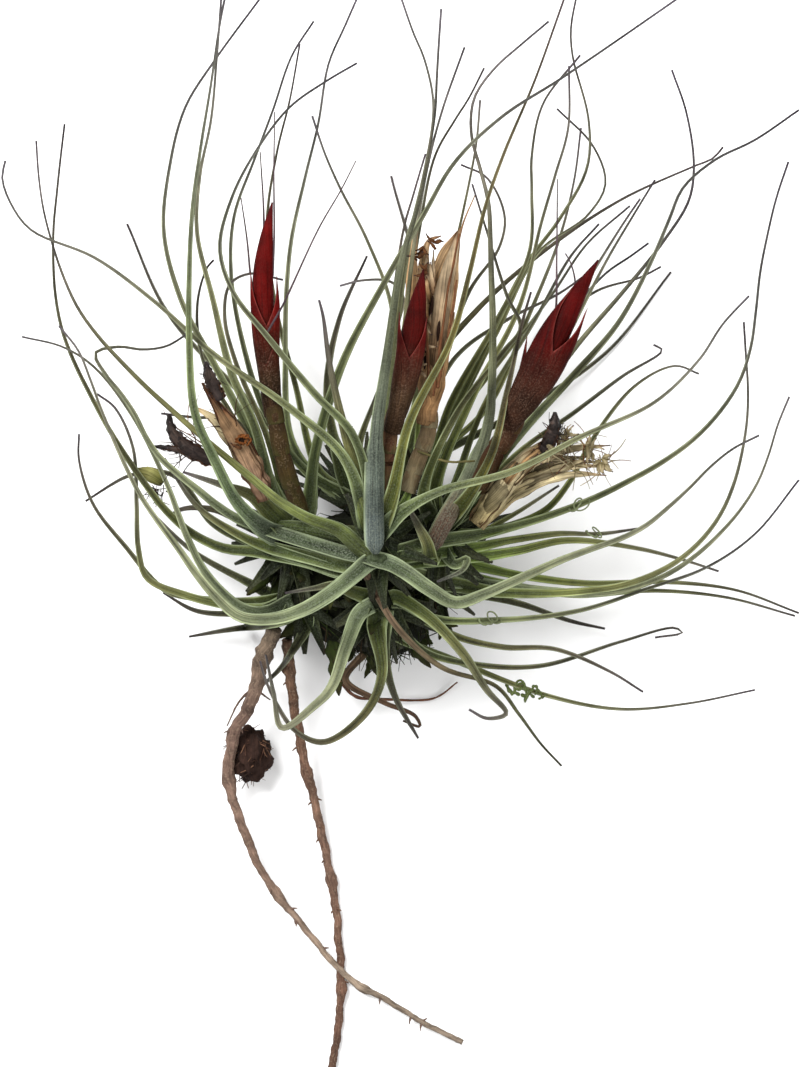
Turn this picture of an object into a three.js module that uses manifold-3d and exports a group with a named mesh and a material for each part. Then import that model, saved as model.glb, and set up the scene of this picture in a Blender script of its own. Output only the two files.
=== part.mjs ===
import * as THREE from 'three';
import Module from 'manifold-3d';
import { mergeVertices } from 'three/addons/utils/BufferGeometryUtils.js';

// A picked clump of a small air plant, lying on its back on a surface, in millimetres.
// +Z is up from the surface and +Y runs from the roots to the leaf tips.
// The origin is the flat spot under the crown that the clump rests on.

const wasm = await Module();
wasm.setup();

// Driving dimensions
// Paths are drawn in plan as seen from a point straight above, at the crown's height.
const VIEW_CENTRE = [6.25, 6.6];
const VIEW_DISTANCE = 900;
const CROWN_HEIGHT = 46;
const BLADE_THICKNESS = 0.75;
const BLADE_TIP_WIDTH = 0.75;
const TAPER_START = 0.35;
const TAPER_LENGTH = 75;
const TAPER_LEAST = 1;
const TAPER_MOST = 2.1;
const SHEATH_LENGTH = 9;
const SHEATH_FLARE = 0.7;
const BRACT_THICKNESS = 0.9;
const BRACT_THICKENING = 0.12;
const BRACT_TAPER = 0.8;
const BRACT_BASE_SHARE = 0.5;
const BRACT_SWELL = 1.9;
const ROOT_TAPER = 2.2;
const KNOT_SIZE = 0.9;
const KNOT_SPACING = 26;
const KNOT_SHARPNESS = 12;
const KEEL_SHARE = 0.55;
const ROLL_MOST = 0.42;
const ROLL_STEP = 2.4;
const ROLL_FREE_HEIGHT = 8;
const REST_LIFT = 0.32;
const FAT = 0.36;
const ROD_SIDES = 6;
const CORE_ROUGHNESS = 0.05;
const CORE_STRAND_SHARE = 0.4;
const LUMP_COLUMNS = 12;
const LUMP_ROWS = 7;
const SPIKE_AXIS_WIDTH = 3;
const LEAST_FACET = 0.02;
const WELD_REACH = 0.0001;
const CRUMPLED_NODES = ['right_dry_sheath'];

// How far apart rings stand: one for so many millimetres of length, so many radians of turn
// or, on a bract, so many millimetres of change in width
const STEP_LENGTH = 34;
const STEP_TURN = 0.55;
const STEP_SWELL = 3;
const FEWEST_STEPS = 3;

// How strands are sampled and kept clear of each other
const SAMPLES = 40;
const CURVE_DIVISIONS = 400;
const CLEARANCE = 0.45;
const ORDER_GAP = 6;
const SETTLE_ROUNDS = 90;
const SMOOTHED_SHARE = 0.6;
const SMOOTHING = 0.25;
const PUSH_STRENGTH = 0.6;
const PUSH_REACH = 6;
const ROOTED_LENGTH = 10;
const JOINED_LENGTH = 22;
const ROOT_DEPTH = 0.5;
const ROLLED_SHARE = 0.24;
const ROLLED_LEAST = 0.5;
const SNUG_SHARE = 0.06;
const SNUG_LEAST = 0.3;
const REACH_SHARE = 0.55;

// The rosettes: where each short stem stands and the half sizes of its sheathed core
const ROSETTES = {
  centre: { at: [0, 4, 48], size: [5.5, 8, 6] },
  left: { at: [-20, 5, 34], size: [6, 8, 6] },
  right: { at: [15, 6, 36], size: [6, 8, 6] },
  left_low: { at: [-18, -9.5, 24], size: [5.5, 5, 5] },
  right_low: { at: [13, -4, 22], size: [5.5, 5, 5] },
  lower: { at: [1.5, -10, 35], size: [5, 5, 5] },
  back: { at: [-3, 14, 17], size: [8, 6, 6] },
};

// Leaves: rosette, width, heights at base, middle and tip, and the midrib in plan
const LEAVES = [
  ["centre", 3.2, [50, 66, 54], [[-3, 14], [-8, 26], [-22, 38.5], [-40, 51.2], [-55, 64.5], [-70, 75.5],
    [-86, 82.5], [-91, 89], [-93.2, 95.5], [-92.4, 99.8]]],
  ["centre", 3.2, [50, 58, 50], [[-8, 7], [-20, 12], [-34, 23], [-47, 34], [-62, 48], [-74, 62.5],
    [-80.5, 78.5], [-83.5, 91], [-84.7, 104.8]]],
  ["left", 3, [34, 38, 40], [[-28, 2], [-40, 3.5], [-50, 10], [-60, 22.5], [-70, 39], [-78.5, 58.5],
    [-80.5, 78], [-79.2, 95], [-77.6, 109]]],
  ["left", 3.8, [37, 74, 70], [[-26, 7], [-34, 14], [-40, 25], [-45, 37], [-46.4, 55], [-46.4, 72],
    [-45.6, 88], [-43.6, 103], [-41, 119], [-38.8, 134], [-37.2, 142]]],
  ["left", 3.4, [36, 42, 52], [[-24, 11], [-30, 33], [-36, 47], [-40.5, 65], [-44.5, 82], [-43.8, 96],
    [-41, 110], [-39.6, 125], [-38.4, 141]]],
  ["left", 3.2, [34, 34, 30], [[-23, 12], [-32, 33], [-40, 48.5], [-48.5, 65], [-52.8, 82], [-51.4, 98],
    [-47.5, 113], [-40, 125], [-29, 140], [-27.6, 142]]],
  ["left", 2.4, [34, 27, 32], [[-22, 14], [-27, 31], [-35, 50], [-37.6, 61], [-36.2, 69], [-31, 71.6],
    [-23, 70]]],
  ["left", 2.2, [33, 30, 38], [[-24, 14], [-34, 33], [-43, 50], [-44.4, 64], [-42, 73], [-40.3, 75]]],
  ["centre", 3, [50, 68, 52], [[-2, 21], [-6, 32], [-15, 41.5], [-27, 56], [-35.5, 67], [-38.8, 78],
    [-36, 90], [-30.5, 101], [-21.5, 113], [-12.5, 119.5], [-4.5, 124.2]]],
  ["back", 2.4, [19, 25, 34], [[-17, 22], [-27, 36], [-33, 54], [-36, 72], [-35.2, 86], [-30, 100.5],
    [-25.5, 112.5], [-20.8, 126], [-15.3, 134.7]]],
  ["back", 2.4, [18, 13, 9], [[-14, 22], [-20, 44], [-25, 64], [-27, 84], [-24.5, 102], [-21.3, 115],
    [-18.8, 129]]],
  ["back", 2.6, [20, 19, 22], [[-14, 20], [-20.8, 30], [-22.4, 52], [-21.2, 78], [-17.5, 95.5], [-14.2, 109],
    [-11.6, 124], [-7.5, 133.5], [-4, 141.5]]],
  ["left", 3.2, [38, 60, 74], [[-17, 12], [-15, 27], [-8, 49.5], [3, 70.5], [12, 86], [20, 99.5],
    [32, 111], [46, 120], [60, 129.5], [76, 140.6], [78, 142]], 57],
  ["centre", 3.8, [50, 60, 70], [[-4, 20], [-8, 34], [-11.5, 50], [-13, 61], [-14, 65]]],
  ["back", 2.4, [20, 24, 27], [[-4, 28], [0, 40], [3, 48]]],
  ["centre", 6.2, [52, 66, 50], [[0, 16], [0.5, 32], [3, 50], [6.5, 74], [10.5, 88], [13, 100],
    [15, 112], [15.6, 124], [16.3, 134], [16.8, 142]]],
  ["centre", 3, [49, 47, 58], [[1, 16], [4.5, 50], [9, 82], [13, 100], [14.6, 114], [12.4, 125],
    [9.5, 132], [6.2, 141.5]]],
  ["centre", 2.6, [49, 50, 38], [[2, 16], [6, 46], [10.2, 82], [13.5, 100], [17, 113], [20.5, 123],
    [22.4, 128.2]]],
  ["back", 2.2, [20, 26, 28], [[2, 28], [6, 50], [11, 82], [15, 101], [20, 110], [23.5, 115.5],
    [27.3, 123]]],
  ["centre", 2, [50, 53, 52], [[-1, 16], [3, 52], [7, 82], [9.5, 91], [12.6, 101.5]]],
  ["centre", 2.2, [50, 42, 52], [[1, 14], [3.6, 36], [4.3, 62], [-2, 80], [-8.5, 92.5], [-12.5, 101.5],
    [-15.7, 111]]],
  ["back", 1.6, [22, 38, 40], [[1, 30], [5, 56], [7, 66], [4, 69.5], [-3, 69.9], [-8.8, 68.5]]],
  ["left_low", 2.6, [24, 20, 30], [[-30, -10.5], [-45, -9.5], [-52.5, -7.5], [-62.5, 3.5], [-70.5, 14],
    [-74, 25], [-74, 31.5]]],
  ["left_low", 3.2, [27, 32, 40], [[-27, -12.6], [-37, -11.4], [-47, -9], [-57, -4.5], [-59.2, 3],
    [-59.6, 14], [-60.5, 28], [-65, 38], [-69.5, 41.5]]],
  ["left_low", 2.6, [25, 17, 12], [[-28, -12.4], [-36, -13.4], [-45, -12.6], [-53, -8.2]]],
  ["centre", 4.4, [51, 62, 52], [[-5, -3.5], [-12, -9], [-22, -14], [-33, -14.5], [-41, -8], [-50, 4],
    [-58, 15], [-64, 27], [-69, 39], [-74, 52], [-79, 58.5]]],
  ["left_low", 2.4, [25, 15, 8], [[-24, -9.4], [-32, -5.5], [-46, 2.5], [-57, 13]]],
  ["left_low", 3.2, [29, 40, 48], [[-27, -13], [-33, -12], [-42, -3.5], [-47, 6], [-52, 19], [-60, 35],
    [-70, 48], [-78, 53.2], [-88.3, 55.8]]],
  ["left", 3, [38, 50, 40], [[-25, 7], [-35, 10.5], [-45, 18], [-55, 27], [-61, 38], [-70, 51.5],
    [-66, 53.2], [-54, 52.8], [-42.8, 59.2]]],
  ["left", 2.6, [34, 33, 30], [[-27, 3.5], [-37, 8], [-45, 14], [-53, 26]]],
  ["left", 2.6, [32, 26, 20], [[-30, 8], [-40, 12.5], [-48, 12.8], [-51, 11.5], [-56, 17]]],
  ["left", 4.2, [40, 44, 42], [[-25, 10.5], [-31, 16], [-38, 18.6], [-48, 22]]],
  ["left", 2.6, [33, 22, 13], [[-28, 4], [-40, 8.8], [-50, 21], [-60, 21.5], [-74, 13.7]]],
  ["left", 1.6, [37, 39, 44], [[-27, 18], [-34.5, 34.7], [-45, 35.6], [-53.5, 36.6]]],
  ["left_low", 2.6, [23, 12, 4], [[-22, -14], [-28, -16.2], [-35, -17.2], [-46.5, -19.2]]],
  ["lower", 2.6, [36, 43, 40], [[-5, -8], [-10, -6.2], [-15, -7], [-22.5, -8.3]]],
  ["lower", 4.6, [40, 44, 22], [[-3.6, -13.4], [-7, -21.4], [-10.9, -32.1], [-15, -36.4], [-23.3, -42],
    [-25.4, -33], [-27.3, -23.7]]],
  ["lower", 3.6, [38, 30, 14], [[0.3, -16], [1.6, -29.1], [-2.8, -38.6], [-12.8, -45.5], [-20, -42.6],
    [-26.6, -31.8], [-29.2, -23.7]]],
  ["lower", 3.6, [38, 28, 12], [[1.6, -15], [2.1, -23], [4.8, -33.7], [10.8, -44.6]]],
  ["left_low", 2.6, [22, 12, 5], [[-17, -16], [-21, -23.5], [-24, -27.5], [-30, -33]]],
  ["centre", 4.4, [51, 58, 50], [[5, -1.2], [13, -7], [20, -10.8], [31, -7], [48, 0.5], [66, 7.5],
    [77, 16.5], [88, 26.8], [101, 33.5]]],
  ["lower", 4, [40, 44, 30], [[5, -9], [13.9, -14.6], [22.3, -23.7], [28, -32.5], [32.8, -38.4],
    [28, -39.6], [23.5, -37.4]]],
  ["lower", 2.2, [36, 28, 26], [[7, -10.5], [14, -14.5], [32, -15], [51, -12.7], [68, -7.2], [83, -1.8],
    [95, 6.5], [106, 20]]],
  ["lower", 2.4, [34, 24, 12], [[9, -13], [20, -19], [31.9, -21.8], [45, -22.3], [58.7, -27.9], [67, -33]]],
  ["lower", 2.4, [33, 20, 16], [[6, -17], [12.7, -23], [25.8, -26.2], [41.8, -26.4], [61.3, -20.5],
    [75, -17], [76.8, -18.2], [70, -19.4]]],
  ["lower", 2.4, [32, 14, 3], [[4, -18], [20.4, -25.3], [43, -33.9], [61.3, -37.3], [78.8, -35.8],
    [95, -32.5]]],
  ["right_low", 2.6, [23, 14, 8], [[22, -7.5], [36.8, -11.1], [49, -15.3], [57.5, -17.2]]],
  ["right", 2, [38, 44, 50], [[20, -1], [23, 0.2], [22, -2.4], [15.5, -5.5]]],
  ["centre", 3, [52, 61, 48], [[7, 12], [16, 17], [34, 22], [52, 31], [70, 39.5], [81, 50], [87, 59],
    [93.5, 66]]],
  ["right", 2.8, [36, 44, 44], [[25, 6.3], [44, 11.3], [62, 19], [80, 30.5], [92, 46.5], [97, 76],
    [102, 96], [106.3, 106]]],
  ["right_low", 3.6, [26, 32, 40], [[18, -5.6], [30, -8], [50, -8], [65, -5.5], [78, 1.5], [87.5, 13.5],
    [93, 35], [92.2, 59.5]]],
  ["right_low", 3.4, [25, 26, 32], [[16, -4.6], [24, -5.6], [40, -7.5], [60, -8], [75, -2.5], [88, 8.5],
    [96, 20], [101.5, 36], [106, 46]]],
  ["right_low", 3.2, [24, 17, 6], [[18, -0.6], [36, -3.8], [52, -5.8], [72, -5.5], [90, -7.5],
    [106, -13.3]]],
  ["right_low", 3, [22, 12, 3], [[16, -3.2], [32, -6], [50, -8.8], [70, -7.7], [88, -9.4],
    [105, -14]]],
  ["right", 2.8, [34, 30, 26], [[22, 3], [34, 5], [46, 6.6], [56, 6.5], [68, 8.2]]],
  ["right", 3, [33, 26, 14], [[22, 1], [34, 2], [48, 4.9], [65, 3], [76, 0.3], [87, -3.2]]],
  ["right", 6, [44, 53, 54], [[14, 0], [13.2, 4], [10.6, 9], [7.6, 14.5]]],
  ["right", 4.6, [41, 54, 50], [[17, 9], [22, 17], [28, 32], [29.5, 52], [29, 74], [28, 92], [24.2, 105],
    [25, 116], [30, 123], [41, 132.5], [46.8, 137.6]]],
  ["right", 3.6, [40, 56, 66], [[20, 11], [26, 19], [38, 33.5], [50, 46.5], [61, 59.5], [69, 74.5],
    [73.5, 85], [77, 93], [85, 100], [95, 105], [106, 112.5]]],
  ["right", 2.8, [38, 40, 36], [[20, 12], [34, 31], [50, 53], [62, 67], [72, 79.5], [78.5, 90],
    [79.7, 99], [77.8, 112], [74.2, 122.5]]],
  ["back", 3.2, [19, 18, 14], [[8, 28], [12, 45], [26, 63], [44, 78.5], [62, 90.3], [80, 98.5],
    [84.5, 100.4], [87, 103.2]]],
  ["back", 2.4, [18, 12, 8], [[8, 26], [20, 50.5], [33, 60], [46, 66.6], [53, 71.5]]],
  ["back", 2, [18, 10, 5], [[10, 24], [30, 48], [44, 66], [53, 79], [63.7, 88.5]]],
  ["right", 2.2, [35, 32, 26], [[22, 14], [38, 46], [52, 68], [62, 84], [66.3, 90.3]]],
  ["right", 2.2, [35, 34, 40], [[24, 13], [44, 48], [58, 75], [64.5, 86], [70, 95]]],
  ["right", 2.2, [34, 26, 18], [[24, 12], [42, 52], [57, 71], [64, 76], [68.4, 79.2]]],
  ["right", 2.2, [34, 24, 16], [[25, 11], [40, 54], [55, 67], [66, 70.5], [71.5, 73.3]]],
  ["right", 2.8, [37, 36, 30], [[14, 18], [18, 37], [30, 59], [38.6, 77], [39.2, 92], [39.2, 101],
    [42, 114], [51.3, 126.2]]],
  ["right", 2.8, [37, 40, 42], [[15, 18], [24, 40], [36, 63], [41.5, 84], [45, 96], [48.3, 108],
    [48.5, 123.5]]],
  ["back", 2.6, [18, 8, 3], [[12, 24], [28, 38], [38, 60], [46, 80], [49.8, 95], [51.5, 108]]],
  ["back", 3, [20, 28, 36], [[12, 24], [24, 46], [38, 74], [46, 85], [53, 98], [53.4, 110],
    [49.4, 126], [49, 133], [50.6, 142]]],
  ["back", 2.4, [18, 22, 30], [[13, 26], [30, 56], [41, 77], [53, 86], [57.6, 94], [54.5, 103.5],
    [45.5, 112.8]]],
  ["right", 2.2, [36, 30, 24], [[19, 16], [27, 38], [40, 60], [49, 76], [56, 84]]],
  ["right", 2.6, [40, 48, 50], [[12, 16], [20, 36], [32, 52], [36.4, 58], [33, 66], [28, 82],
    [24.3, 94]]],
  ["right", 2.4, [37, 34, 28], [[13, 18], [16, 44], [23.5, 67], [31, 78], [32.4, 86], [28, 95.5],
    [21.5, 98.8]]],
  ["centre", 2, [50, 40, 44], [[8, 16], [12, 44], [18, 70], [22, 87], [25.3, 104], [26.3, 115]]],
  ["centre", 3.2, [50, 60, 56], [[4, 15], [8.5, 34], [19, 55], [23.7, 72], [27.5, 88], [32, 101],
    [40, 120], [47.9, 142]]],
  ["right", 3, [44, 60, 66], [[22, 14], [29, 26], [33, 42], [37, 60], [39, 67]]],
  ["right", 2.2, [38, 44, 46], [[22, 13], [36, 27], [50, 37], [62, 46], [71.8, 52.4], [69.6, 53.8]]],
  ["right", 2.6, [36, 38, 34], [[24, 6], [42, 12], [49, 20], [54, 29.5], [65, 43.5], [75, 48.5],
    [81, 46.5]]],
  ["right", 1.8, [37, 35, 32], [[22, 5], [34, 11], [46, 18.6]]],
  ["back", 3.4, [20, 20, 16], [[-8, 22], [-12, 42], [-9, 60], [-2, 76]]],
  ["back", 3, [18, 4, -1], [[0, 24], [6, 44], [10, 70], [4, 96]]],
  ["back", 3, [17, 4, -1], [[-14, 20], [-32, 40], [-52, 62], [-62, 84]]],
  ["back", 3, [17, 4, -1], [[8, 22], [34, 36], [58, 52], [74, 72]]],
];

// Helpers for points and shapes
// A centripetal curve through the points, cut into samples an equal length apart
function spacedPoints(points, count) {
  const curve = new THREE.CatmullRomCurve3(
    points.map((p) => new THREE.Vector3(p[0], p[1], p[2] ?? 0)), false, 'centripetal');
  curve.arcLengthDivisions = CURVE_DIVISIONS;
  return curve.getSpacedPoints(count - 1).map((p) => [p.x, p.y, p.z]);
}

// The height along a strand: a smooth curve through its base, middle and tip heights
function heightAt(share, [base, middle, tip]) {
  const fromBase = base * (1 - share) * (1 - 2 * share);
  const fromMiddle = 4 * middle * share * (1 - share);
  const fromTip = tip * share * (2 * share - 1);
  return fromBase + fromMiddle + fromTip;
}

// From the plan as seen from above to the true place at a height
function placed(x, y, z) {
  const scale = 1 - (z - CROWN_HEIGHT) / VIEW_DISTANCE;
  return [
    VIEW_CENTRE[0] + (x - VIEW_CENTRE[0]) * scale,
    VIEW_CENTRE[1] + (y - VIEW_CENTRE[1]) * scale,
    z,
  ];
}

// Widths along a leaf: a sheath that wraps the stem, then a taper, drawn out more on long leaves
function leafWidth(share, width, length) {
  const drawnOut = Math.min(TAPER_MOST, Math.max(TAPER_LEAST, TAPER_START + length / TAPER_LENGTH));
  const taper = BLADE_TIP_WIDTH + (width - BLADE_TIP_WIDTH) * Math.pow(1 - share, drawnOut);
  const sheath = SHEATH_FLARE * width * Math.exp(-Math.pow(share * length / SHEATH_LENGTH, 2));
  return taper + sheath;
}

// Widths along a bract: broad below its middle, drawn out to a point, and past that a thread-like awn
function bractWidth(share, width, awn) {
  const along = Math.min(1, share / (1 - awn));
  const swell = BRACT_BASE_SHARE + BRACT_SWELL * along;
  return BLADE_TIP_WIDTH + width * Math.pow(1 - along, BRACT_TAPER) * swell;
}

function planLength(points) {
  let length = 0;
  for (let i = 1; i < points.length; i += 1) {
    length += Math.hypot(points[i][0] - points[i - 1][0], points[i][1] - points[i - 1][1]);
  }
  return length;
}

// A strand is a path with widths and heights: a leaf, a bract, a stalk, a root or a core
function strand({ node, kind, width, heights, path, order, awn = 0, fixed = false, snug = false, level }) {
  const plan = spacedPoints(path, SAMPLES);
  const length = planLength(plan);
  const shares = plan.map((p, i) => i / (SAMPLES - 1));
  const widths = shares.map((share) => {
    if (kind === 'leaf') return leafWidth(share, width, length);
    if (kind === 'bract') return bractWidth(share, width, awn);
    return typeof width === 'function' ? width(share) : width;
  });
  const halfDepth = (w) => {
    if (kind === 'round') return w / 2;
    return snug ? SNUG_SHARE * w + SNUG_LEAST : ROLLED_SHARE * w + ROLLED_LEAST;
  };
  return {
    node, kind, plan, length, shares, widths, order,
    level: level ?? heights[1],
    z: shares.map((share) => heightAt(share, heights)),
    run: shares.map((share) => share * length),
    half: widths.map(halfDepth),
    reach: widths.map((w) => w / 2 + REACH_SHARE * length / (SAMPLES - 1)),
    free: shares.map((share) => (fixed ? 0 : Math.min(1, share * length / ROOTED_LENGTH))),
  };
}

// Every leaf starts inside its rosette's core, on the side that it leaves by
const leafStrands = LEAVES.map(([rosette, width, [base, middle, tip], path, level], order) => {
  const { at, size } = ROSETTES[rosette];
  const rise = Math.max(-1, Math.min(1, (base - at[2]) / size[2])) * size[2] * ROOT_DEPTH;
  const away = [path[0][0] - at[0], path[0][1] - at[1]];
  const far = Math.hypot(away[0], away[1]) || 1;
  const start = [0, 1].map((axis) => at[axis] + away[axis] / far * size[axis] * ROOT_DEPTH);
  return strand({
    node: `${rosette}_rosette`, kind: 'leaf', width, path: [start, ...path], order,
    heights: [at[2] + rise, middle, tip], level: level ?? middle,
  });
});

// The cores of the rosettes, as strands that the leaves of other rosettes keep clear of
const coreStrands = Object.entries(ROSETTES).map(([rosette, { at, size }]) => strand({
  node: `${rosette}_rosette`, kind: 'round', width: size[0] * 2, heights: [at[2], at[2], at[2]],
  path: [-1, 1].map((way) => [at[0], at[1] + way * size[1] * CORE_STRAND_SHARE]), fixed: true,
}));

// Stalks of the spikes, and the pieces on them, in plan with heights
const STALKS = {
  left_spike: { width: 3.6, heights: [46, 56, 60], path: [[-18.5, 12], [-22.6, 24], [-25, 36], [-26.6, 45]] },
  centre_spike: { width: 3.2, heights: [50, 53, 56], path: [[3, 14], [3, 24], [4, 33], [6.2, 42]] },
  right_spike: { width: 4.4, heights: [46, 56, 62], path: [[26, 18], [30, 27], [34, 33], [36.4, 40]] },
  dry_spike: { width: 3.4, heights: [44, 45, 46], path: [[8, 17], [10, 23], [13.5, 33], [13.6, 41]] },
};

const SPIKES = {
  left_spike: [
    [6.6, [61, 62, 60], [[-26.8, 45.8], [-28.2, 56], [-28.4, 68], [-27.4, 80], [-26.2, 89.5]], 0],
    [5.4, [59, 63, 60], [[-26.6, 46], [-28, 54], [-29.6, 62], [-31, 70], [-32, 80], [-33.5, 90.5]], 0.36],
    [5.2, [60, 60, 58], [[-25.8, 48], [-26, 58], [-25.6, 70], [-25.2, 82], [-25.3, 96], [-25.1, 112]], 0.6],
    [5.4, [58, 58, 57], [[-26.8, 46], [-29, 56], [-28.6, 70], [-27.8, 84], [-28.7, 102]], 0.3],
    [1.6, [61.4, 65.5, 56], [[-27.6, 46], [-29.2, 51], [-22.4, 65], [-14, 83], [-8.5, 92.5], [-4.8, 99.7]], 0.8],
  ],
  centre_spike: [
    [6.4, [57, 58, 57], [[6.8, 42.8], [8, 52], [10, 62], [12, 71], [12.8, 75]], 0],
    [5.2, [56, 56, 55], [[6.6, 42.8], [6.6, 50], [7.4, 58], [9.4, 67]], 0],
    [5, [55, 54, 53], [[7.2, 42.8], [10.6, 50], [12.6, 60], [13, 67.5]], 0],
  ],
  right_spike: [
    [8.2, [64, 66, 62], [[37, 40.8], [43.6, 53], [50, 64.5], [56.7, 75.5]], 0],
    [6.6, [63, 64, 62], [[36.4, 41], [38, 48], [43, 58], [51.2, 69.6]], 0],
    [6.4, [62, 61, 58], [[38, 40.6], [44.5, 47], [50, 55], [53, 62]], 0],
    [4.4, [62, 60, 56], [[37.6, 41], [42, 50], [45, 61], [45.4, 75], [45.6, 95.2]], 0.55],
    [4.2, [62, 62, 62], [[38, 41.6], [46, 56], [50, 68], [49, 74], [47.6, 76.6]], 0.3],
  ],
  dry_spike: [
    [7, [47, 48, 50], [[13.8, 41.8], [15.6, 52], [17.6, 64], [20, 75], [22, 84], [25, 91.2]], 0.16],
    [5.6, [46, 47, 50], [[13, 41.8], [12.6, 54], [14, 67], [17, 76], [20.6, 82.2]], 0],
    [4.4, [45, 44, 47], [[12.6, 42], [10, 52], [9.4, 66], [9.6, 78], [10.6, 85.6]], 0],
    [4, [45, 46, 52], [[13.2, 42], [11.6, 58], [12, 72], [13.4, 79.6], [16.6, 81]], 0],
  ],
};

const stalkStrands = Object.entries(STALKS).map(([name, { width, heights, path }]) => strand({
  node: `${name}_stalk`, kind: 'round', width, heights, path, fixed: true,
}));
const bractStrands = Object.entries(SPIKES).flatMap(([name, bracts]) => bracts.map(
  ([width, heights, path, awn], order) => strand({
    node: `${name}_bracts`, kind: 'bract', width, heights, path, awn, order, fixed: true,
  })));

// The woody roots: thickness at top and end, heights and path
const ROOTS = {
  root_a: {
    width: [4.4, 1.4], heights: [22, 4.4, 3.4],
    path: [[-25, -17], [-28, -24], [-30.5, -34], [-35, -43], [-36.6, -53], [-33.5, -66], [-27, -80],
      [-16, -94], [-7.5, -103.6], [5, -111.5], [21.8, -120.8]],
  },
  root_b: {
    width: [2.8, 2], heights: [17, 1.2, 1],
    path: [[-22, -20], [-21, -32], [-19, -43], [-17.5, -51], [-15, -61], [-11.5, -77], [-9.2, -92],
      [-8.5, -108], [-9.4, -119], [-11, -128], [-11.3, -131]],
  },
};
const ROOTLETS = [
  ['root_a', 0.9, [16, 12, 3], [[-29.6, -31], [-31.6, -33], [-34, -35.5], [-37, -41.5]]],
  ['root_a', 0.9, [16, 13, 10], [[-30, -32], [-28.6, -33.2], [-26.2, -35]]],
  ['lower_rosette', 1.5, [16, 17, 15], [[32.6, -30.4], [34.6, -33.6], [36.4, -30.8], [38, -34.6], [40, -31.6],
    [41.4, -34.6], [43, -33.4]]],
  ['clump_base', 1, [15, 2.4, 2], [[-9, -30], [-5, -34], [3, -34.8], [14.7, -34.6], [20.6, -30.6]]],
];

// Dry and dead pieces: node, kind, width, heights and path
const DRY = [
  ['left_dry_sheath', 'bract', 6.4, [44, 53, 56], [[-27, 15], [-32, 26], [-38, 36], [-43.5, 44.5]]],
  ['left_dry_sheath', 'bract', 3, [44, 52, 58], [[-27, 15], [-31, 24], [-36, 30], [-42, 36], [-55, 42]]],
  ['right_dry_sheath', 'bract', 5.4, [43, 54, 60], [[25, 9], [31, 17], [37, 24], [43, 28.6]]],
  ['right_dry_sheath', 'bract', 3.6, [42, 50, 54],
    [[25.6, 8.6], [31, 15], [40, 20.4], [50, 23], [62.5, 22.3]]],
  ['right_dry_sheath', 'bract', 3, [44, 52, 57], [[25, 9.6], [32, 18], [41, 24.6], [52, 27], [64, 28]]],
  ['husk_left_upper', 'bract', 3.6, [57, 58.6, 60], [[-38.6, 40], [-41, 45], [-42.4, 49.6]]],
  ['husk_left_lower', 'bract', 4.2, [42.6, 44, 44.6], [[-40, 24.6], [-47, 28], [-50.6, 32], [-51.6, 36.4]]],
  ['husk_left_lower', 'bract', 2.2, [42.6, 43.6, 44], [[-41, 25.6], [-48, 27.4], [-55.4, 28.4]]],
  ['husk_right', 'bract', 4, [57.6, 60.6, 61.2], [[42, 27], [44.6, 32], [45, 37]]],
  ['yellow_remnant', 'bract', 3.6, [33, 34.6, 34.6], [[-53, 19.6], [-56.5, 21.5], [-60.4, 22.6]]],
  ['dead_leaf_long', 'leaf', 2.4, [50, 42, 20], [[-2.3, -3.6], [5.6, -16.9], [16.6, -26.8],
    [30.3, -31.6], [36, -38.6], [41.4, -45.9], [46.6, -51.5]]],
  ['dead_leaf_short', 'leaf', 2.6, [16, 16, 9], [[-1.4, -22], [-7.4, -29.9], [2.1, -35.6], [10, -39],
    [11.2, -41.6], [7, -40.2]]],
];

const rootStrands = Object.entries(ROOTS).map(([node, { width: [top, end], heights, path }]) => strand({
  node, kind: 'round', width: (share) => rootWidth(share, top, end), heights, path, fixed: true,
}));
const rootletStrands = ROOTLETS.map(([node, width, heights, path]) => strand({
  node, kind: 'round', width, heights, path, fixed: true,
}));
const dryStrands = DRY.map(([node, kind, width, heights, path], order) => strand({
  node, kind, width, heights, path, order, snug: true,
}));

// A root thins towards its end and is knotted where rootlets once grew
function rootWidth(share, top, end) {
  const taper = end + (top - end) * Math.pow(1 - share, ROOT_TAPER);
  const knot = KNOT_SIZE * Math.pow(Math.max(0, Math.sin(share * KNOT_SPACING)), KNOT_SHARPNESS);
  return taper + knot;
}

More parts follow.
